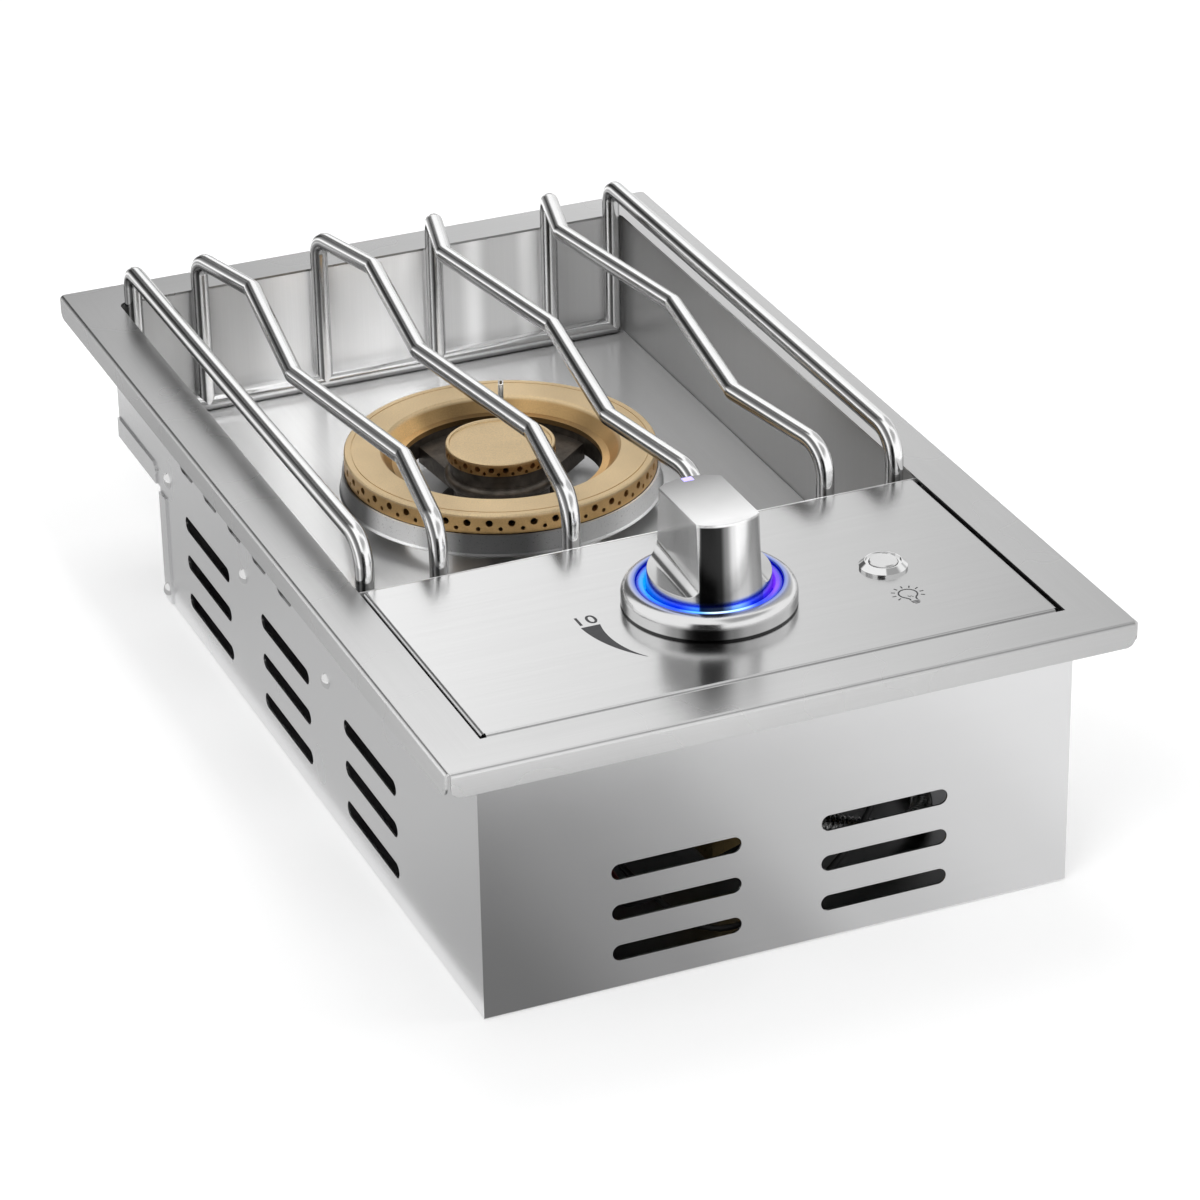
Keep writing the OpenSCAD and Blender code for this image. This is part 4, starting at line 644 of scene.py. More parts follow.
def drawn_rod(name, colour, roughness, stops):
    """Polished rod with painted reflections: long light and dark streaks set by the way the surface faces,
    so that they follow it round its bends.

    Stops are (how far the surface faces to the right, tone) of the painted reflections; what faces down gets
    painted shade.
    """
    skin = Finish(name, 1.0, roughness, colour)
    x, y, z = skin.split(skin.add("NewGeometry").outputs["Normal"])
    start, end = stops[0][0], stops[-1][0]
    facing = skin.spread(skin.sum("MULTIPLY_ADD", y, 0.25, x), 0.0, 1.0, start, end)
    level = skin.grey_ramp(facing, stops, start, end)
    # Painted shade: the side that faces down is darker.
    level = skin.sum("MULTIPLY", level, skin.spread(z, 0.35, 1.0, -0.3, 0.0))
    skin.feed("Base Color", skin.scaled(skin.clouded(skin.noise(35.0), 0.97, 1.03), level))
    marks = skin.noise((700.0, 120.0, 700.0))
    skin.roughen(marks, 0.85, 1.15)
    skin.bumped([(marks, 0.06)], 0.000008)
    return skin.material


def blasted_brass(name, colour, top, cone=0.0, roughness=0.42):
    """Fine blasted brass: a sandy grain of bright and dark specks, with painted shade and painted reflections
    that deepen its colour under its top face.

    Cone is the radius inside which the painted reflections are those of the ring's sloping throat.
    """
    skin = Finish(name, 1.0, roughness, colour)
    specks = skin.noise(1500.0, 3.0, 0.75)
    both = skin.sum("MULTIPLY_ADD", skin.spread(specks, 0.0, 1.0), 0.8,
                    skin.spread(skin.noise(60.0, 3.0), 0.0, 0.2))
    grain = skin.blend(both, shade(colour, 0.8), shade(colour, 1.18))
    x, y, z = skin.centred(burner_x, burner_y)
    turn = skin.front_turn(x, y)

    # Painted reflections: tone round the burner's axis, deeper orange where darker.
    def sheen(stops):
        return skin.ramp(turn, [((a + 180) / 360, (v * 0.98, v * 0.82, v * 0.60)) for a, v in stops])

    wall = sheen([(-180, 0.6), (-110, 0.7), (-75, 0.8), (-45, 0.85), (-22, 0.6), (0, 0.75), (30, 1.0),
                  (60, 1.0), (90, 0.8), (180, 0.6)])
    if cone:
        throat = sheen([(-180, 0.32), (-162, 0.5), (-148, 1.0), (-134, 1.25), (-118, 0.8), (-90, 0.5),
                        (0, 0.8), (48, 1.0), (62, 1.05), (85, 0.7), (105, 0.42), (125, 0.62), (145, 0.75),
                        (162, 0.36), (180, 0.32)])
        wall = skin.blend(skin.spread(skin.radius(x, y), 0.0, 1.0, cone, cone + 0.002), throat, wall)
    # Painted shade and reflection: under the top face the grain is multiplied by the painted tones.
    painted_sheen_under_top = skin.spread(z, 1.0, 0.0, top - 0.0022, top - 0.0008)
    skin.feed("Base Color", skin.blend(painted_sheen_under_top, grain, wall, blend_type="MULTIPLY"))
    skin.roughen(specks, 0.85, 1.2)
    skin.bumped([(specks, 0.5)], 0.00005)
    return skin.material


def spun(name, colour, roughness, centre, stops, fade=None, top=None, glow=None, foot=None, metallic=1.0):
    """Turned metal with painted reflections whose tone changes round its axis.

    Stops are (degrees from the front, tone) of the painted reflections. Fade holds the heights between which
    the painted reflections die out, and the tone there. Top holds the height of the top face and the (y,
    tone) of its back and front edges, a painted sheen across it. Glow holds a tint of painted light from the
    light ring, "Z" or "radius" for what it follows, and where it is strongest and where it ends. Foot is the
    height under which a painted shadow darkens the foot.
    """
    skin = Finish(name, metallic, roughness, colour)
    x, y, z = skin.centred(*centre)
    # Painted reflections: a tone for each angle round the axis.
    level = skin.grey_ramp(skin.front_turn(x, y), stops, -180, 180)
    if fade:
        level = skin.either(skin.spread(z, 0.0, 1.0, fade[0], fade[1]), level, fade[2])
    if foot:
        # Painted shadow: the foot is darkened.
        level = skin.sum("MULTIPLY", level, skin.spread(z, 0.08, 1.0, foot, foot + 0.0005))
    # Painted sheen on the top face, from its back edge to its front edge.
    if top:
        height, back, front = top
        face = skin.spread(y, back[1], front[1], back[0] - centre[1], front[0] - centre[1])
        level = skin.either(skin.spread(z, 0.0, 1.0, height - 0.0003, height + 0.0003), level, face)
    shown = skin.scaled(skin.clouded(skin.noise(50.0), 0.97, 1.03), level)
    # Painted light: the light ring's tint laid on the metal near it.
    if glow:
        tint, follows, strong, gone = glow
        along = z if follows == "Z" else skin.radius(x, y)
        shown = skin.blend(skin.spread(along, 1.0, 0.0, strong, gone), shown, tint, blend_type="MULTIPLY")
    skin.feed("Base Color", shown)
    grain = skin.noise(1800.0)
    skin.roughen(grain, 0.9, 1.1)
    skin.bumped([(grain, 0.08)], 0.000008)
    return skin.material


def cast_skin(name, colour, roughness=0.42):
    """Sand-cast iron: uneven dark skin."""
    skin = Finish(name, 0.85, roughness, colour)
    grain = skin.noise(900.0, 4.0, 0.65)
    lumps = skin.noise(180.0, 3.0)
    skin.feed("Base Color", skin.clouded(lumps, 0.7, 1.5))
    skin.roughen(grain, 0.8, 1.2)
    skin.bumped([(lumps, 0.35), (grain, 0.6)], 0.0001)
    return skin.material


def satin(name, colour, roughness=0.3, depth=0.25):
    """Even satin metal with a fine grain."""
    skin = Finish(name, 1.0, roughness, colour)
    grain = skin.noise(1800.0)
    skin.feed("Base Color", skin.clouded(skin.noise(50.0), 0.96, 1.04))
    skin.roughen(grain, 0.88, 1.12)
    skin.bumped([(grain, depth)], 0.000008)
    return skin.material


def moulded(name, colour, roughness=0.45):
    """Moulded plastic or rubber with a fine skin."""
    skin = Finish(name, 0.0, roughness, colour)
    grain = skin.noise(900.0, 3.0)
    skin.feed("Base Color", skin.clouded(grain, 0.85, 1.15))
    skin.roughen(grain, 0.85, 1.15)
    skin.bumped([(grain, 0.3)], 0.00003)
    return skin.material


def glowing_ring(name, glow, outer):
    """Light guide that glows, with painted highlights: navy at its outside, bright at its inside, cyan at the
    left, whitish near the front and violet at the right.
    """
    skin = Finish(name, 0.0, 0.25, (0.02, 0.03, 0.3))
    x, y, z = skin.centred(knob_x, knob_y)
    turn = skin.turn(y, x)
    # Painted highlights on the glow: its colour changes round the ring.
    near = skin.ramp(turn, [
        (0.0, (0.0, 0.22, 0.75)), (0.10, (0.0, 0.06, 0.8)), (0.155, (0.10, 0.45, 1.0)),
        (0.20, (0.75, 0.95, 1.0)), (0.25, (0.45, 0.8, 1.0)), (0.31, (0.01, 0.05, 0.8)),
        (0.40, (0.16, 0.02, 0.65)), (0.45, (0.10, 0.01, 0.5)), (0.60, (0.0, 0.02, 0.4)),
        (0.80, (0.0, 0.02, 0.4)), (0.93, (0.0, 0.25, 0.7)), (1.0, (0.0, 0.22, 0.75))])
    far = skin.ramp(turn, [(0.0, (0.0, 0.01, 0.18)), (0.18, (0.0, 0.05, 0.6)), (0.26, (0.0, 0.04, 0.55)),
                           (0.42, (0.0, 0.0, 0.2)), (1.0, (0.0, 0.01, 0.18))])
    middle = outer - 0.0014
    outside = skin.spread(skin.radius(x, y), 0.0, 1.0, middle - 0.0006, middle + 0.0006)
    skin.feed("Emission Color", skin.blend(outside, near, far))
    skin.shader.inputs["Emission Strength"].default_value = glow
    skin.feed("Roughness", skin.spread(skin.noise(400.0), 0.2, 0.3))
    return skin.material


# ---------------------------------------------------------------- pieces
class BURNER_OT_sheets(bpy.types.Operator):
    """Builds the top frame and the control panel with broken sheet edges"""
    bl_idname = "side_burner.sheets"
    bl_label = "Frame and panel"

    def execute(self, context):
        settings = context.scene.burner_sheets
        # The frame and the panel carry a painted sheen: their tone slopes across the sheet in place of
        # reflected light.
        metal = brushed("frame_brushed_steel_painted_sheen", settings.frame_tone, "Y", 0.28, 0.02, 0.4,
                        mitre=((frame_high.x - frame_low.x) / 2, (frame_high.y - frame_low.y) / 2),
                        sheen_slope=(0.0, -0.5, 5.5))
        piece = broken_edges(cleaned_copy("top_frame", "frame_sheet"), settings.edge, 3)
        finish(piece, "casing", metal, "frame_steel", "top_frame")
        metal = brushed("panel_brushed_steel_painted_sheen", settings.panel_tone, "X", 0.2, 0.02, 0.4,
                        sheen_slope=(-1.5, 0.8, 0.0))
        piece = broken_edges(cleaned_copy("control_panel", "panel_sheet"), settings.panel_edge, 2)
        finish(piece, "casing", metal, "frame_steel", "control_panel")
        return {"FINISHED"}


class BURNER_OT_casing(bpy.types.Operator):
    """Finishes the casing's panels, vents and screws"""
    bl_idname = "side_burner.casing"
    bl_label = "Casing"

    def execute(self, context):
        tone = context.scene.burner_sheets.casing_tone
        refinish(brushed("casing_front_steel", tone, "X", 0.24, 0.008, 0.25), "front_panel")
        refinish(brushed("casing_side_steel", tone, "Y", 0.26, 0.008, 0.25), "left_side_panel",
                 "right_side_panel", "rear_upper_panel", "rear_cover")
        refinish(satin("plated_sheet", (0.30, 0.30, 0.31), 0.4), "panel_ledges", "bottom_pan", "tray_rails",
                 "air_shutter", "mixing_tube", "valve_bonnet", "valve_bracket", "bezel_nuts", "button_nut",
                 "electrode_clip")
        refinish(polished("screw_steel", (0.72, 0.72, 0.72), 0.14), "side_screws", "burner_screws",
                 "valve_screws", "valve_stem", "stem_spring", "button_spring", "electrode_wire")
        return {"FINISHED"}


class BURNER_OT_tray(bpy.types.Operator):
    """Builds the burner tray's walls and finishes its floor"""
    bl_idname = "side_burner.tray"
    bl_label = "Burner tray"

    def execute(self, context):
        tone = context.scene.burner_sheets.tray_tone
        piece = evened(smooth(cleaned_copy("tray_walls", "tray_wall_sheet"), 35))
        # Painted reflections: light and dark bands across the tray's walls and floor.
        reflection_bands = [(-0.136, 0.5), (-0.130, 0.60), (-0.075, 0.62), (-0.045, 1.08), (-0.012, 1.02), (0.012, 1.1),
                 (0.018, 1.2), (0.024, 1.1), (0.046, 0.8), (0.056, 1.15), (0.064, 0.75), (0.078, 0.8),
                 (0.087, 1.2), (0.097, 0.8), (0.110, 0.55), (0.130, 0.6), (0.136, 0.45)]
        finish(piece, "casing", brushed("tray_wall_steel_painted_reflections", tone, "Z", 0.3, 0.02, 0.35, reflection_bands=reflection_bands,
                                        metallic=0.4), "bright_steel", "tray_walls")
        reflection_bands = [(-0.136, 0.85), (-0.10, 1.0), (-0.06, 1.1), (-0.02, 1.0), (0.02, 1.05),
                 (0.06, 0.8), (0.10, 0.75),
                 (0.136, 0.65)]
        refinish(brushed("tray_floor_steel_painted_reflections", tone, "Y", 0.2, 0.02, 0.3, reflection_bands=reflection_bands, metallic=0.6),
                 "tray_floor")
        return {"FINISHED"}


class BURNER_OT_grate(bpy.types.Operator):
    """Bends the grate's six rods and sets its two cross bars"""
    bl_idname = "side_burner.grate"
    bl_label = "Grate"

    def execute(self, context):
        settings = context.scene.burner_grate
        r = settings.rod_radius
        # Painted reflections on the rods: a tone for how far the surface faces to the right.
        streaks = [(-1.04, 0.6), (-0.98, 0.3), (-0.95, 0.7), (-0.91, 1.05), (-0.86, 0.8), (-0.79, 0.25),
                   (-0.64, 0.12), (-0.56, 0.3), (-0.49, 1.05), (-0.2, 1.05), (0.15, 1.05),
                   (0.4, 0.85), (0.62, 0.55),
                   (0.75, 0.25), (0.9, 0.4), (1.04, 0.5)]
        steel = drawn_rod("rod_polished_steel_painted_reflections", settings.tone, 0.18, streaks)
        top = outer_high.z - r
        foot = (bars_low.z + bars_high.z) / 2
        back, front = outer_high.y - r, outer_low.y + r
        post = settings.post_bend
        straight_x = (outer_low.x + outer_high.x) / 2
        rod = bent_rod("outer_rod_right", [(straight_x, back, foot), (straight_x, back, top),
                                           (straight_x, front, top), (straight_x, front, foot)],
                       [0, settings.back_bend, post, 0], r, settings.sides, settings.bend_steps)
        left = moved_copy(rod, "outer_rod_left", mirror=True)
        finish(rod, "grate", steel, "rod_steel", "grate_outer_rod_right")
        finish(smooth(left, 50), "grate", steel, "rod_steel", "grate_outer_rod_left")
        span = back - front
        post_x, zig_in, zig_out = 0.0975, 0.0125, 0.0035
        bend = settings.zig_bend
        points = [(post_x, back, foot), (post_x, back, top), (post_x - zig_in, front + 0.8565 * span, top),
                  (post_x + zig_out, front + 0.54 * span, top), (post_x - zig_in, front + 0.2234 * span, top),
                  (post_x, front, top), (post_x, front, foot)]
        rod = bent_rod("middle_rod_right", points, [0, settings.back_bend, bend, bend, bend, post, 0], r,
                       settings.sides, settings.bend_steps)
        shift = inner_low.x - middle_low.x
        copies = [("middle_rod_left", (0, 0, 0), True, "grate_middle_rod_left"),
                  ("inner_rod_right", (shift, 0, 0), False, "grate_inner_rod_right"),
                  ("inner_rod_left", (-shift, 0, 0), True, "grate_inner_rod_left")]
        for name, offset, mirror, node in copies:
            copy = moved_copy(rod, name, offset, mirror)
            finish(smooth(copy, 50), "grate", steel, "rod_steel", node)
        finish(rod, "grate", steel, "rod_steel", "grate_middle_rod_right")
        bars = []
        for y in (back, front):
            put_down()
            bpy.ops.mesh.primitive_circle_add(vertices=settings.sides, radius=r * 0.8, fill_type="NGON",
                                              location=(bars_low.x, y, foot), rotation=(0, math.pi / 2, 0))
            bar = new_piece("cross_bar")
            edit(bar)
            steps = [(0.0009, 1.25), (bars_high.x - bars_low.x - 0.0018, 1.0), (0.0009, 0.8)]
            place = bars_low.x
            for length, growth in steps:
                bpy.ops.mesh.extrude_region_move(TRANSFORM_OT_translate={"value": (length, 0, 0)})
                place += length
                bpy.ops.transform.resize(value=(1, growth, growth), center_override=(place, y, foot))
            close_up(merge=False)
            bars.append(bar)
        piece = smooth(join(bars, "cross_bars"), 50)
        finish(piece, "grate", steel, "rod_steel", "grate_cross_bars")
        return {"FINISHED"}


class BURNER_OT_burner(bpy.types.Operator):
    """Finishes the burner's casting, cup, flame ring and centre cap"""
    bl_idname = "side_burner.burner"
    bl_label = "Burner head"

    def execute(self, context):
        settings = context.scene.burner_head
        # The brass finishes carry painted reflections and painted shade.
        for node, cone in (("flame_ring", 0.068), ("centre_cap", 0.0)):
            refinish(blasted_brass("blasted_brass_painted_sheen_" + node, settings.brass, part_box(node)[1].z, cone), node)
        refinish(cast_skin("cast_iron_skin", settings.iron), "burner_casting")
        refinish(satin("turned_brass", (0.62, 0.45, 0.2), 0.3), "gas_orifice", "valve_body", "valve_plug",
                 "hose_nuts", "gas_inlet_fitting", "inlet_lock_nut")
        low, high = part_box("burner_cup")
        lip = settings.cup_lip
        outer, top_r, floor_r, wall = (high.x - low.x) / 2, 0.0793, 0.062, 0.001
        height = high.z - low.z
        floor = 0.0013
        profile = [(floor_r, 0.0), (outer - lip, 0.0)]
        profile += arc_points((outer - lip, lip), lip, -90, 10, 6)
        profile += [(outer - 0.0009, lip * 2.4), (top_r, height), (top_r - wall, height),
                    (outer - wall - 0.0010, floor), (floor_r, floor), (floor_r, 0.0)]
        piece = smooth(turned("polished_cup", (burner_x, burner_y, low.z), profile, 160), 30)
        # Painted reflections round the cup.
        sheen = [(-180, 0.7), (-150, 0.3), (-120, 0.6), (-102, 0.12), (-90, 0.06), (-80, 0.15), (-68, 1.1),
                 (-56, 1.2), (-44, 0.5), (-34, 0.12), (-14, 0.08), (-2, 0.25), (14, 0.6),
                 (32, 1.0), (50, 1.0),
                 (68, 0.3), (85, 0.12), (110, 0.8), (150, 0.4), (180, 0.7)]
        steel = spun("cup_turned_steel_painted_reflections", (0.88, 0.88, 0.88), 0.3, (burner_x, burner_y), sheen,
                     metallic=0.6)
        finish(piece, "casing", steel, "bright_steel", "burner_cup")
        return {"FINISHED"}


class BURNER_OT_knob(bpy.types.Operator):
    """Builds the knob, its lit mark, the bezel and the light ring"""
    bl_idname = "side_burner.knob"
    bl_label = "Knob and bezel"

    def execute(self, context):
        settings = context.scene.burner_knob
        # Painted reflections round the knob; the top face gets a painted sheen and the base painted blue
        # light from the ring.
        sheen = [(-180, 1.1), (-170, 0.6), (-160, 0.1), (-148, 0.05), (-146, 0.9), (-100, 0.75), (-60, 0.8),
                 (-34, 0.95), (-32, 0.04), (-13, 0.04), (-7, 0.3), (0, 0.95), (5, 1.2), (12, 1.15), (22, 0.7),
                 (32, 0.5), (34, 0.85), (70, 0.7), (110, 0.8), (146, 0.9), (148, 0.5), (160, 0.8), (170, 1.1),
                 (180, 1.1)]
        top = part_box("knob")[1].z - 0.0012
        metal = spun("knob_satin_metal_painted_sheen", settings.tone, 0.17, (knob_x, knob_y), sheen,
                     top=(top, (knob_y + 0.028, 0.32), (knob_y - 0.020, 1.2)),
                     glow=((0.25, 0.4, 1.0), "Z", 0.1484, 0.1535))
        piece = broken_edges(cleaned_copy("knob", "knob_shell"), settings.edge, 3, 35)
        finish(piece, "knob_and_stem", metal, "knob_metal", "knob")
        # Painted reflections round the bezel, painted blue light inside its rim and a painted shadow at its
        # foot.
        sheen = [(-180, 0.8), (-160, 0.4), (-140, 0.9), (-100, 0.9), (-60, 1.05), (-46, 0.5), (-37, 0.06),
                 (-17, 0.05), (-9, 0.35), (2, 0.7), (20, 0.95), (40, 1.05), (52, 0.75), (64, 1.1), (120, 0.9),
                 (150, 0.5), (180, 0.8)]
        chrome = spun("bezel_satin_chrome_painted_sheen", settings.chrome, 0.2, (knob_x, knob_y), sheen,
                      fade=(bezel_high.z - 0.0056, bezel_high.z - 0.0035, 1.0),
                      glow=((0.12, 0.25, 1.0), "radius", 0.0333, 0.0370), foot=panel_top + 0.0008)
        outer, height = (bezel_high.x - bezel_low.x) / 2, bezel_high.z - panel_top
        hole, dish, shoulder, lip, dish_floor = 0.009, 0.0333, 0.0055, 0.0006, 0.0031
        profile = [(hole, 0.0), (outer - 0.0004, 0.0), (outer - 0.0004, 0.0006), (outer, 0.0010),
                   (outer, height - shoulder)]
        profile += arc_points((outer - shoulder, height - shoulder), shoulder, 0, 90, 12)[1:]
        profile += arc_points((dish + lip, height - lip), lip, 90, 180, 4)
        profile += [(dish, dish_floor)] + arc_points((dish - lip, dish_floor), lip, 0, -90, 4)[1:]
        profile += [(hole, 0.0025), (hole, 0.0)]
        piece = smooth(turned("bezel_shell", (knob_x, knob_y, panel_top), profile, 160), 30)
        finish(piece, "casing", chrome, "chrome", "knob_bezel")
        low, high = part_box("light_ring")
        ring_r, bore, tall, soft = (high.x - low.x) / 2, 0.0294, 0.0068, 0.0007
        glow = glowing_ring("light_guide", settings.glow, ring_r)
        profile = [(bore, 0.0), (ring_r, 0.0), (ring_r, tall)]
        profile += arc_points((ring_r - soft, tall), soft, 0, 90, 4)[1:]
        profile += arc_points((bore + soft, tall), soft, 90, 180, 4)
        profile += [(bore, 0.0)]
        piece = smooth(turned("light_guide_ring", (knob_x, knob_y, high.z - 0.0045), profile, 128), 30)
        finish(piece, "casing", glow, "light_plastic", "light_ring")
        lit = Finish("lit_mark", 0.0, 0.3, (0.35, 0.3, 0.8))
        shine = lit.spread(lit.noise(300.0), 0, 1)
        lit.feed("Emission Color", lit.blend(shine, (0.38, 0.32, 0.95), (0.46, 0.40, 1.0)))
        lit.shader.inputs["Emission Strength"].default_value = 0.9
        refinish(lit.material, "knob_pointer")
        return {"FINISHED"}


class BURNER_OT_button(bpy.types.Operator):
    """Builds the light button and its round bezel"""
    bl_idname = "side_burner.button"
    bl_label = "Light button"

    def execute(self, context):
        refinish(polished("button_chrome", (0.82, 0.82, 0.82), 0.06, 0.03), "button_housing")
        refinish(satin("button_cap_metal", (0.74, 0.74, 0.74), 0.22, 0.1), "light_button")
        return {"FINISHED"}


class BURNER_OT_marks(bpy.types.Operator):
    """Prints the flame mark, the number and the lamp sign on the panel"""
    bl_idname = "side_burner.marks"
    bl_label = "Printed marks"

    def execute(self, context):
        settings = context.scene.burner_marks
        ink = moulded("printed_ink", settings.ink, 0.5)
        steps = 40
        outer, inner = [], []
        for i in range(steps + 1):
            t = i / steps
            a = math.radians(180 + 38.5 * t)
            outer_r = 0.0625 - 0.0036 * t
            outer.append((knob_x + outer_r * math.cos(a), knob_y + outer_r * math.sin(a)))
            inner_r = 0.0532 + 0.0055 * (1 - (1 - t) ** 1.4)
            inner.append((knob_x + inner_r * math.cos(a), knob_y + inner_r * math.sin(a)))
        wedge = flat_print("flame_mark", [outer + inner[::-1]], panel_top, settings.ink_height)
        finish(wedge, "casing", ink, "black_plastic")
        put_down()
        bpy.ops.object.text_add()
        text = bpy.context.object
        text.data.body = settings.number
        text.data.size = settings.number_size
        text.data.align_x = "CENTER"
        text.data.extrude = settings.ink_height / 2
        text.data.space_character = 1.15
        text.data.offset = 0.00012
        bpy.ops.object.convert(target="MESH")
        number = bpy.context.object
        number.name = "mark_number"
        number.location = (knob_x - 0.0582, knob_y + 0.0022, panel_top + settings.ink_height / 2)
        bake_place()
        finish(number, "casing", ink, "black_plastic")
        cx, cy, r, pen = 0.0838, -0.2086, 0.0043, 0.00075
        glass = [(cx + r * math.cos(math.radians(a)), cy + r * math.sin(math.radians(a)))
                 for a in range(-56, 237, 9)]
        left_neck = [glass[-1], (cx - 0.0016, cy - 0.0050), (cx - 0.0016, cy - 0.0064)]
        right_neck = [(cx + 0.0016, cy - 0.0064), (cx + 0.0016, cy - 0.0050), glass[0]]
        outlines = [stroke(right_neck + glass[1:-1] + left_neck, pen)]
        for k, half in enumerate((0.0020, 0.0019, 0.0011)):
            y = cy - 0.0075 - 0.0011 * k
            outlines.append(stroke([(cx - half, y), (cx + half, y)], pen * 0.85))
        outlines.append(stroke([(cx - 0.0010, cy - 0.0018), (cx - 0.0003, cy - 0.0033),
                                (cx + 0.0003, cy - 0.0022),
                                (cx + 0.0010, cy - 0.0036)], pen * 0.6))
        for a in range(-30, 211, 30):
            c, d = math.cos(math.radians(a)), math.sin(math.radians(a))
            outlines.append(stroke([(cx + 0.0058 * c, cy + 0.0058 * d), (cx + 0.0077 * c, cy + 0.0077 * d)],
                                   pen * 0.85))
        sign = flat_print("lamp_sign", outlines, panel_top, settings.ink_height)
        finish(sign, "casing", ink, "black_plastic")
        return {"FINISHED"}


hose_route = [
    (28.15, -192, 22), (40.15, -192, 22), (56.15, -194, 17.5), (76.15, -198, 12.5), (98.15, -190, 8.5),
    (112, -168, 7), (118, -120, 7), (118, -0.15, 7), (117, 69.85, 8), (108, 114.85, 16),
    (101, 141.85, 27), (100, 155.85, 30), (100, 167.85, 30),
]
ignition_route = [
    (-69.85, -200, 12), (-63.85, -200, 12), (-49.85, -190, 6), (-44.85, -150, 3), (-41.72, -79.2, 3),
    (-34.72, 20.8, 3), (-17.72, 90.8, 3), (12.28, 126.8, 10), (26.78, 144.3, 33.85), (28.28, 145.8, 51.85),
    (28.28, 145.8, 57.85),
]
switch_route = [
    (19.65, -177.5, 118), (25.65, -177.5, 118), (35.15, -182, 104), (37.15, -200, 80), (22.15, -224, 52),
    (-19.85, -228, 36), (-54.85, -222, 20), (-63.85, -208, 16), (-69.85, -208, 16),
]
light_route = [
    (85.5, -180, 107.85), (85.5, -180, 101.85), (78, -200, 87.85), (60, -232, 59.85), (25, -243, 24),
    (-25, -243, 10), (-49.85, -215, 22), (-49.85, -165, 20), (-53.85, -145, 14), (-59.85, -145, 14),
]
board_route = [
    (34.15, -177.5, 134.7), (40.15, -177.5, 134.7), (58.15, -178, 125), (71.35, -180, 115),
    (77.35, -180, 115),
]


def lead(name, route, radius=0.0015):
    """A round insulated lead along a route."""
    line = [place for place, s in even_steps(smooth_route(route, 8), 0.003)[0]]
    return tube_along(name, line, [radius] * len(line), 12)


class BURNER_OT_hose(bpy.types.Operator):
    """Builds the ribbed gas hose and the leads inside the casing"""
    bl_idname = "side_burner.hose"
    bl_label = "Hose and leads"

    def execute(self, context):
        line, total = even_steps(smooth_route(hose_route, 8), 0.00045)
        plain, pitch, root, crest = 0.0112, 0.0026, 0.0046, 0.0056
        ribs = int((total - 2 * plain) / pitch)
        first = (total - ribs * pitch) / 2
        radii = []
        for place, s in line:
            phase = (s - first) / pitch
            wave = 0.5 - 0.5 * math.cos(2 * math.pi * phase) if 0 <= phase <= ribs else 0.0
            radii.append(root + (crest - root) * wave ** 0.8)
        hose = tube_along("ribbed_hose", [p for p, s in line], radii, 16, capped=False)
        apply_modifier(hose, "SOLIDIFY", "wall", thickness=0.0009, offset=-1.0)
        smooth(hose, 60)
        finish(hose, "casing", polished("hose_steel_skin", (0.5, 0.5, 0.5), 0.2), "hose_steel", "gas_hose")
        rubber = moulded("lead_rubber", (0.03, 0.03, 0.03), 0.5)
        red = moulded("lead_silicone", (0.35, 0.04, 0.03), 0.5)
        finish(smooth(lead("ignition_cable", ignition_route), 60), "casing", red, "lead_red", "ignition_lead")
        finish(smooth(lead("switch_cable", switch_route), 60), "casing", rubber, "lead_black", "switch_lead")
        pieces = [lead("light_cable", light_route), lead("board_cable", board_route)]
        finish(smooth(join(pieces, "light_cables"), 60), "casing", rubber, "lead_black", "light_leads")
        return {"FINISHED"}


class BURNER_OT_fittings(bpy.types.Operator):
    """Finishes the small parts inside the casing"""
    bl_idname = "side_burner.fittings"
    bl_label = "Inner parts"

    def execute(self, context):
        refinish(moulded("black_moulding", (0.03, 0.03, 0.03)), "button_switch", "igniter_module",
                 "valve_microswitch", "battery_box")
        refinish(moulded("board_laminate", (0.03, 0.22, 0.1), 0.35), "light_board")
        refinish(moulded("glazed_ceramic", (0.82, 0.81, 0.77), 0.12), "igniter_electrode")
        return {"FINISHED"}


def card(name, low, high, stops, axis="X", face="up", turn=0.0):
    """A card that only shows in reflections, from corner to corner. Stops are (place on the axis, tone)."""
    put_down()
    size = [b - a for a, b in zip(low, high)]
    bpy.ops.mesh.primitive_plane_add(size=1)
    piece = bpy.context.object
    piece.name = name
    if face == "up":
        piece.scale = (size[0], size[1], 1)
    else:
        piece.rotation_euler = (math.pi / 2, 0, turn)
        piece.scale = (size[0], size[2], 1)
    piece.location = [(a + b) / 2 for a, b in zip(low, high)]
    bake_place()
    for ray in ("camera", "diffuse", "shadow", "transmission", "volume_scatter"):
        setattr(piece, "visible_" + ray, False)
    tones = Finish(name)
    start, end = stops[0][0], stops[-1][0]
    along = tones.spread(tones.split(tones.coords)["XYZ".index(axis)], 0.0, 1.0, start, end)
    light = tones.add("Emission")
    tones.link(tones.grey_ramp(along, stops, start, end), light.inputs["Color"])
    tones.link(light.outputs[0], tones.tree.nodes["Material Output"].inputs["Surface"])
    piece.data.materials.append(tones.material)
    return piece


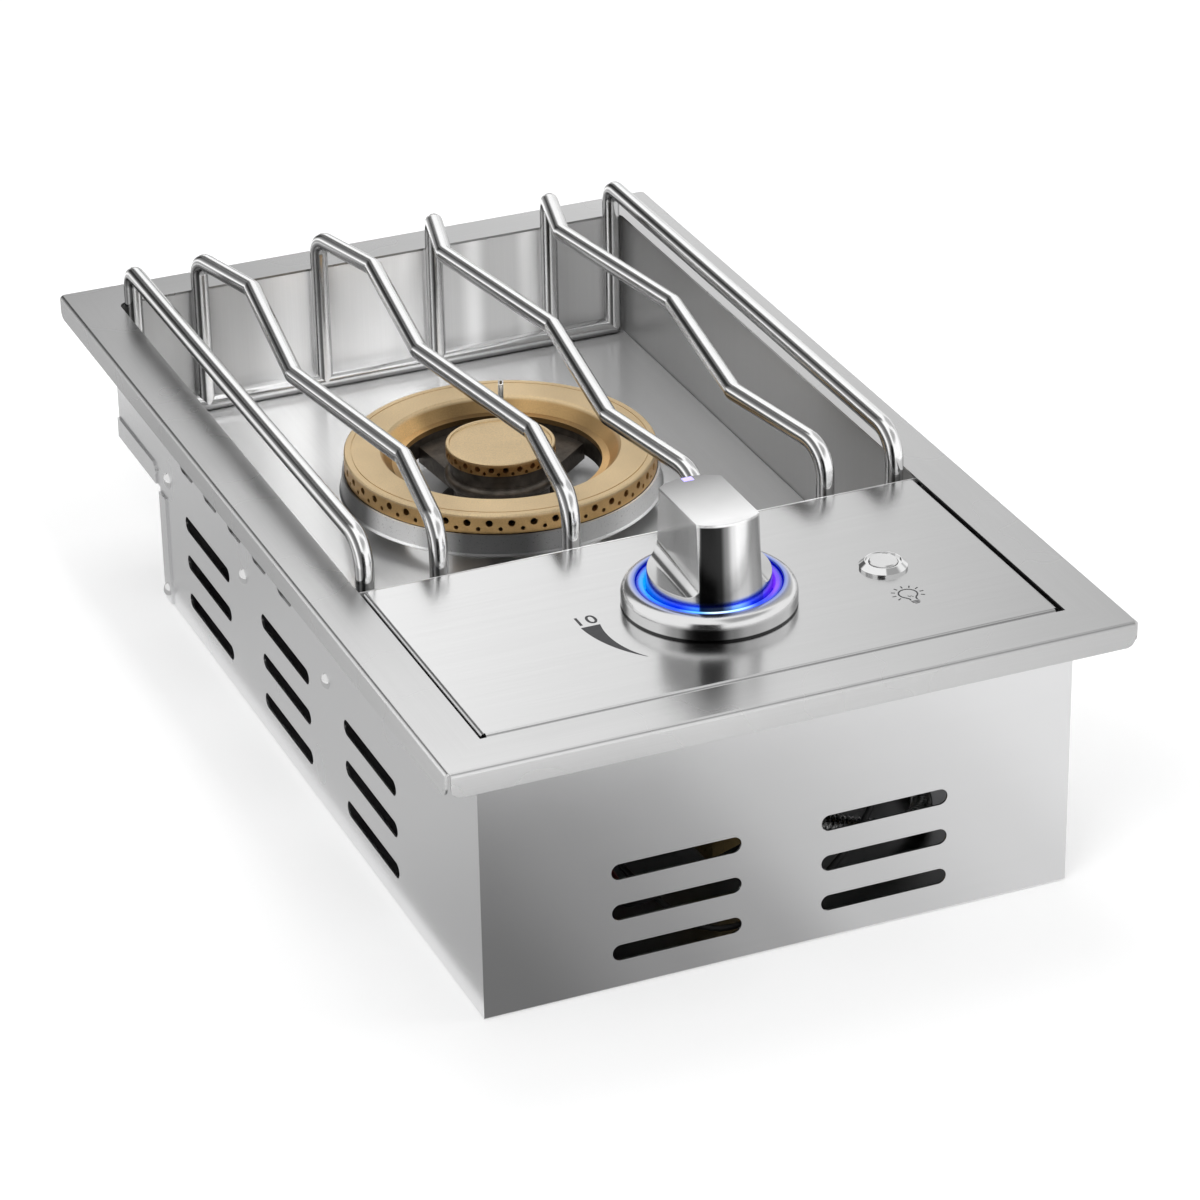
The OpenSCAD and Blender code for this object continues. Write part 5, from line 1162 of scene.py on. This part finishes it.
def studio_tone(studio, flags):
    """How bright the studio is in each direction: white with soft dark flags.

    Each flag holds its start and end in degrees round the burner, from the back to the right, its lowest and
    highest angle, the softness of its edges and how much light it takes away.
    """
    x, y, z = studio.split(studio.add("TexCoord").outputs["Generated"])
    round_ = studio.sum("ARCTAN2", x, y)
    height = studio.sum("ARCSINE", z)
    level = 1.0
    for start, end, low, high, soft, depth in flags:
        mask = 1.0
        for value, place, tones in ((round_, start, (0.0, 1.0)), (round_, end, (1.0, 0.0)),
                                    (height, low, (0.0, 1.0)), (height, high, (1.0, 0.0))):
            step = studio.spread(value, *tones, math.radians(place - soft), math.radians(place + soft),
                                 interpolation_type="SMOOTHSTEP")
            mask = studio.sum("MULTIPLY", mask, step)
        level = studio.sum("MULTIPLY", level, studio.sum("MULTIPLY_ADD", mask, -depth, 1.0))
    return level


def soft_lamp(name, place, aim, size, power):
    """A square soft box."""
    lamp = bpy.data.lights.new(name, "AREA")
    lamp.shape = "SQUARE"
    lamp.size = size
    lamp.energy = power
    holder = set_out(name, lamp)
    holder.visible_glossy = False
    holder.location = place
    holder.rotation_euler = (Vector(aim) - Vector(place)).to_track_quat("-Z", "Y").to_euler()
    return holder


def studio_world():
    """A white studio with dark flags for what looks at it, and an even light for the rest."""
    world = bpy.data.worlds.new("studio")
    world.use_nodes = True
    world.node_tree.nodes.clear()
    studio = Wiring(world.node_tree)
    straight, seen = studio.seen()
    plain, white = studio.add("Background"), studio.add("Background")
    for light in (plain, white):
        light.inputs["Color"].default_value = (1, 1, 1, 1)
    plain.inputs["Strength"].default_value = 0.5
    flags = [(-26, 4, 4, 60, 5, 0.88), (100, 178, 40, 78, 9, 0.6), (6, 30, -4, 12, 4, 0.6),
             (34, 75, 16, 60, 5, 0.5)]
    studio.link(studio.sum("MAXIMUM", straight, studio_tone(studio, flags)), white.inputs["Strength"])
    mix = studio.add("MixShader")
    for entry, value in zip(mix.inputs, (seen, plain.outputs[0], white.outputs[0])):
        studio.link(value, entry)
    studio.link(mix.outputs[0], studio.add("OutputWorld").inputs["Surface"])
    return world


def pale_floor(tone):
    """A pale floor that is a little brighter to the eye than it lights."""
    bpy.ops.mesh.primitive_plane_add(size=12, location=(0, 0, -0.0005))
    floor = bpy.context.object
    floor.name = "pale_floor"
    material = bpy.data.materials.new("pale_floor")
    material.use_nodes = True
    material.node_tree.nodes.clear()
    paint = Wiring(material.node_tree)
    seen = paint.seen()[1]
    coat = paint.add("BsdfDiffuse")
    coat.inputs["Color"].default_value = (tone, tone, tone, 1)
    glow = paint.add("Emission")
    glow.inputs["Color"].default_value = (1, 1, 1, 1)
    paint.link(paint.sum("MULTIPLY", seen, 0.32), glow.inputs["Strength"])
    both = paint.add("AddShader")
    paint.link(coat.outputs[0], both.inputs[0])
    paint.link(glow.outputs[0], both.inputs[1])
    paint.link(both.outputs[0], paint.add("OutputMaterial").inputs["Surface"])
    floor.data.materials.append(material)


class BURNER_OT_stage(bpy.types.Operator):
    """Sets the floor, the soft light and the camera"""
    bl_idname = "side_burner.stage"
    bl_label = "Stage"

    def execute(self, context):
        settings = context.scene.burner_stage
        scene = context.scene
        az, el, roll = (math.radians(v) for v in (settings.azimuth, settings.elevation, settings.roll))
        back = Vector((math.sin(az) * math.cos(el), -math.cos(az) * math.cos(el), math.sin(el)))
        right = Vector((math.cos(az), math.sin(az), 0))
        up = back.cross(right)
        side = right * math.cos(roll) + up * math.sin(roll)
        top = up * math.cos(roll) - right * math.sin(roll)
        lens = bpy.data.cameras.new("photo_camera")
        lens.lens = settings.lens
        lens.sensor_width = 36
        lens.clip_end = 100
        camera = set_out("photo_camera", lens)
        place = Vector(settings.target) + back * settings.distance
        camera.matrix_world = Matrix.Translation(place) @ Matrix((side, top, back)).transposed().to_4x4()
        scene.camera = camera
        scene.view_settings.view_transform = "Standard"
        scene.world = studio_world()
        put_down()
        pale_floor(settings.floor_tone)

        middle = (0, 0, 0.1)
        soft_lamp("key_box", (-1.5, -1.2, 2.3), middle, 1.4, 26)
        soft_lamp("fill_box", (1.9, -0.6, 1.8), middle, 1.2, 12)
        soft_lamp("top_box", (0.2, 0.9, 2.4), middle, 1.2, 12)
        tray_lamp = soft_lamp("tray_box", (0.0, -0.18, 0.62), (0.0, 0.20, 0.10), 0.25, 0.6)
        tray_lamp.data.spread = math.radians(75)

        card("front_floor", (-0.21, -0.485, 0.0004), (0.30, -0.254, 0.0004),
             [(-0.12, 0.19), (-0.05, 0.32), (0.0, 0.42), (0.05, 0.64), (0.14, 0.80), (0.2, 0.95)])
        card("left_floor", (-0.40, -0.26, 0.0004), (-0.149, 0.60, 0.0004),
             [(-0.2, 0.46), (-0.05, 0.57), (0.1, 0.56), (0.2, 0.52), (0.36, 0.58), (0.5, 0.85)], "Y")
        card("camera_flag", (-0.50, -0.72, 0.0), (-0.08, -0.72, 0.62), [(0.0, 0.02), (0.62, 0.02)], "Z",
             "front", math.radians(-30))
        return {"FINISHED"}


class BURNER_PT_panel(bpy.types.Panel):
    """Lists the burner's pieces in the sidebar"""
    bl_label = "Side Burner"
    bl_idname = "BURNER_PT_panel"
    bl_space_type = "VIEW_3D"
    bl_region_type = "UI"
    bl_category = "Side Burner"

    def draw(self, context):
        scene = context.scene
        for group, values in (
                (scene.burner_sheets, ("edge", "panel_edge", "frame_tone", "panel_tone")),
                (scene.burner_grate, ("rod_radius", "post_bend", "back_bend", "zig_bend", "tone")),
                (scene.burner_head, ("brass", "iron", "cup_lip")),
                (scene.burner_knob, ("edge", "tone", "chrome", "glow")),
                (scene.burner_marks, ("ink", "number", "number_size")),
                (scene.burner_stage, ("azimuth", "elevation", "floor_tone"))):
            box = self.layout.box()
            for value in values:
                box.prop(group, value)
        for operator in OPERATORS:
            self.layout.operator(operator.bl_idname)


SETTINGS = (("burner_sheets", SheetSettings), ("burner_grate", GrateSettings),
("burner_head", BurnerSettings),
            ("burner_knob", KnobSettings), ("burner_marks", MarkSettings), ("burner_stage", StageSettings))
OPERATORS = (BURNER_OT_stage, BURNER_OT_sheets, BURNER_OT_casing, BURNER_OT_tray, BURNER_OT_grate,
             BURNER_OT_burner, BURNER_OT_knob, BURNER_OT_button, BURNER_OT_marks, BURNER_OT_hose,
             BURNER_OT_fittings)


def register():
    for name, group in SETTINGS:
        bpy.utils.register_class(group)
        setattr(bpy.types.Scene, name, PointerProperty(type=group))
    for operator in OPERATORS:
        bpy.utils.register_class(operator)
    bpy.utils.register_class(BURNER_PT_panel)


def unregister():
    bpy.utils.unregister_class(BURNER_PT_panel)
    for operator in reversed(OPERATORS):
        bpy.utils.unregister_class(operator)
    for name, group in reversed(SETTINGS):
        delattr(bpy.types.Scene, name)
        bpy.utils.unregister_class(group)


def main():
    register()
    bpy.ops.side_burner.stage()
    bpy.ops.side_burner.sheets()
    bpy.ops.side_burner.casing()
    bpy.ops.side_burner.tray()
    bpy.ops.side_burner.grate()
    bpy.ops.side_burner.burner()
    bpy.ops.side_burner.knob()
    bpy.ops.side_burner.button()
    bpy.ops.side_burner.marks()
    bpy.ops.side_burner.hose()
    bpy.ops.side_burner.fittings()
    put_down()


if __name__ == "__main__":
    main()
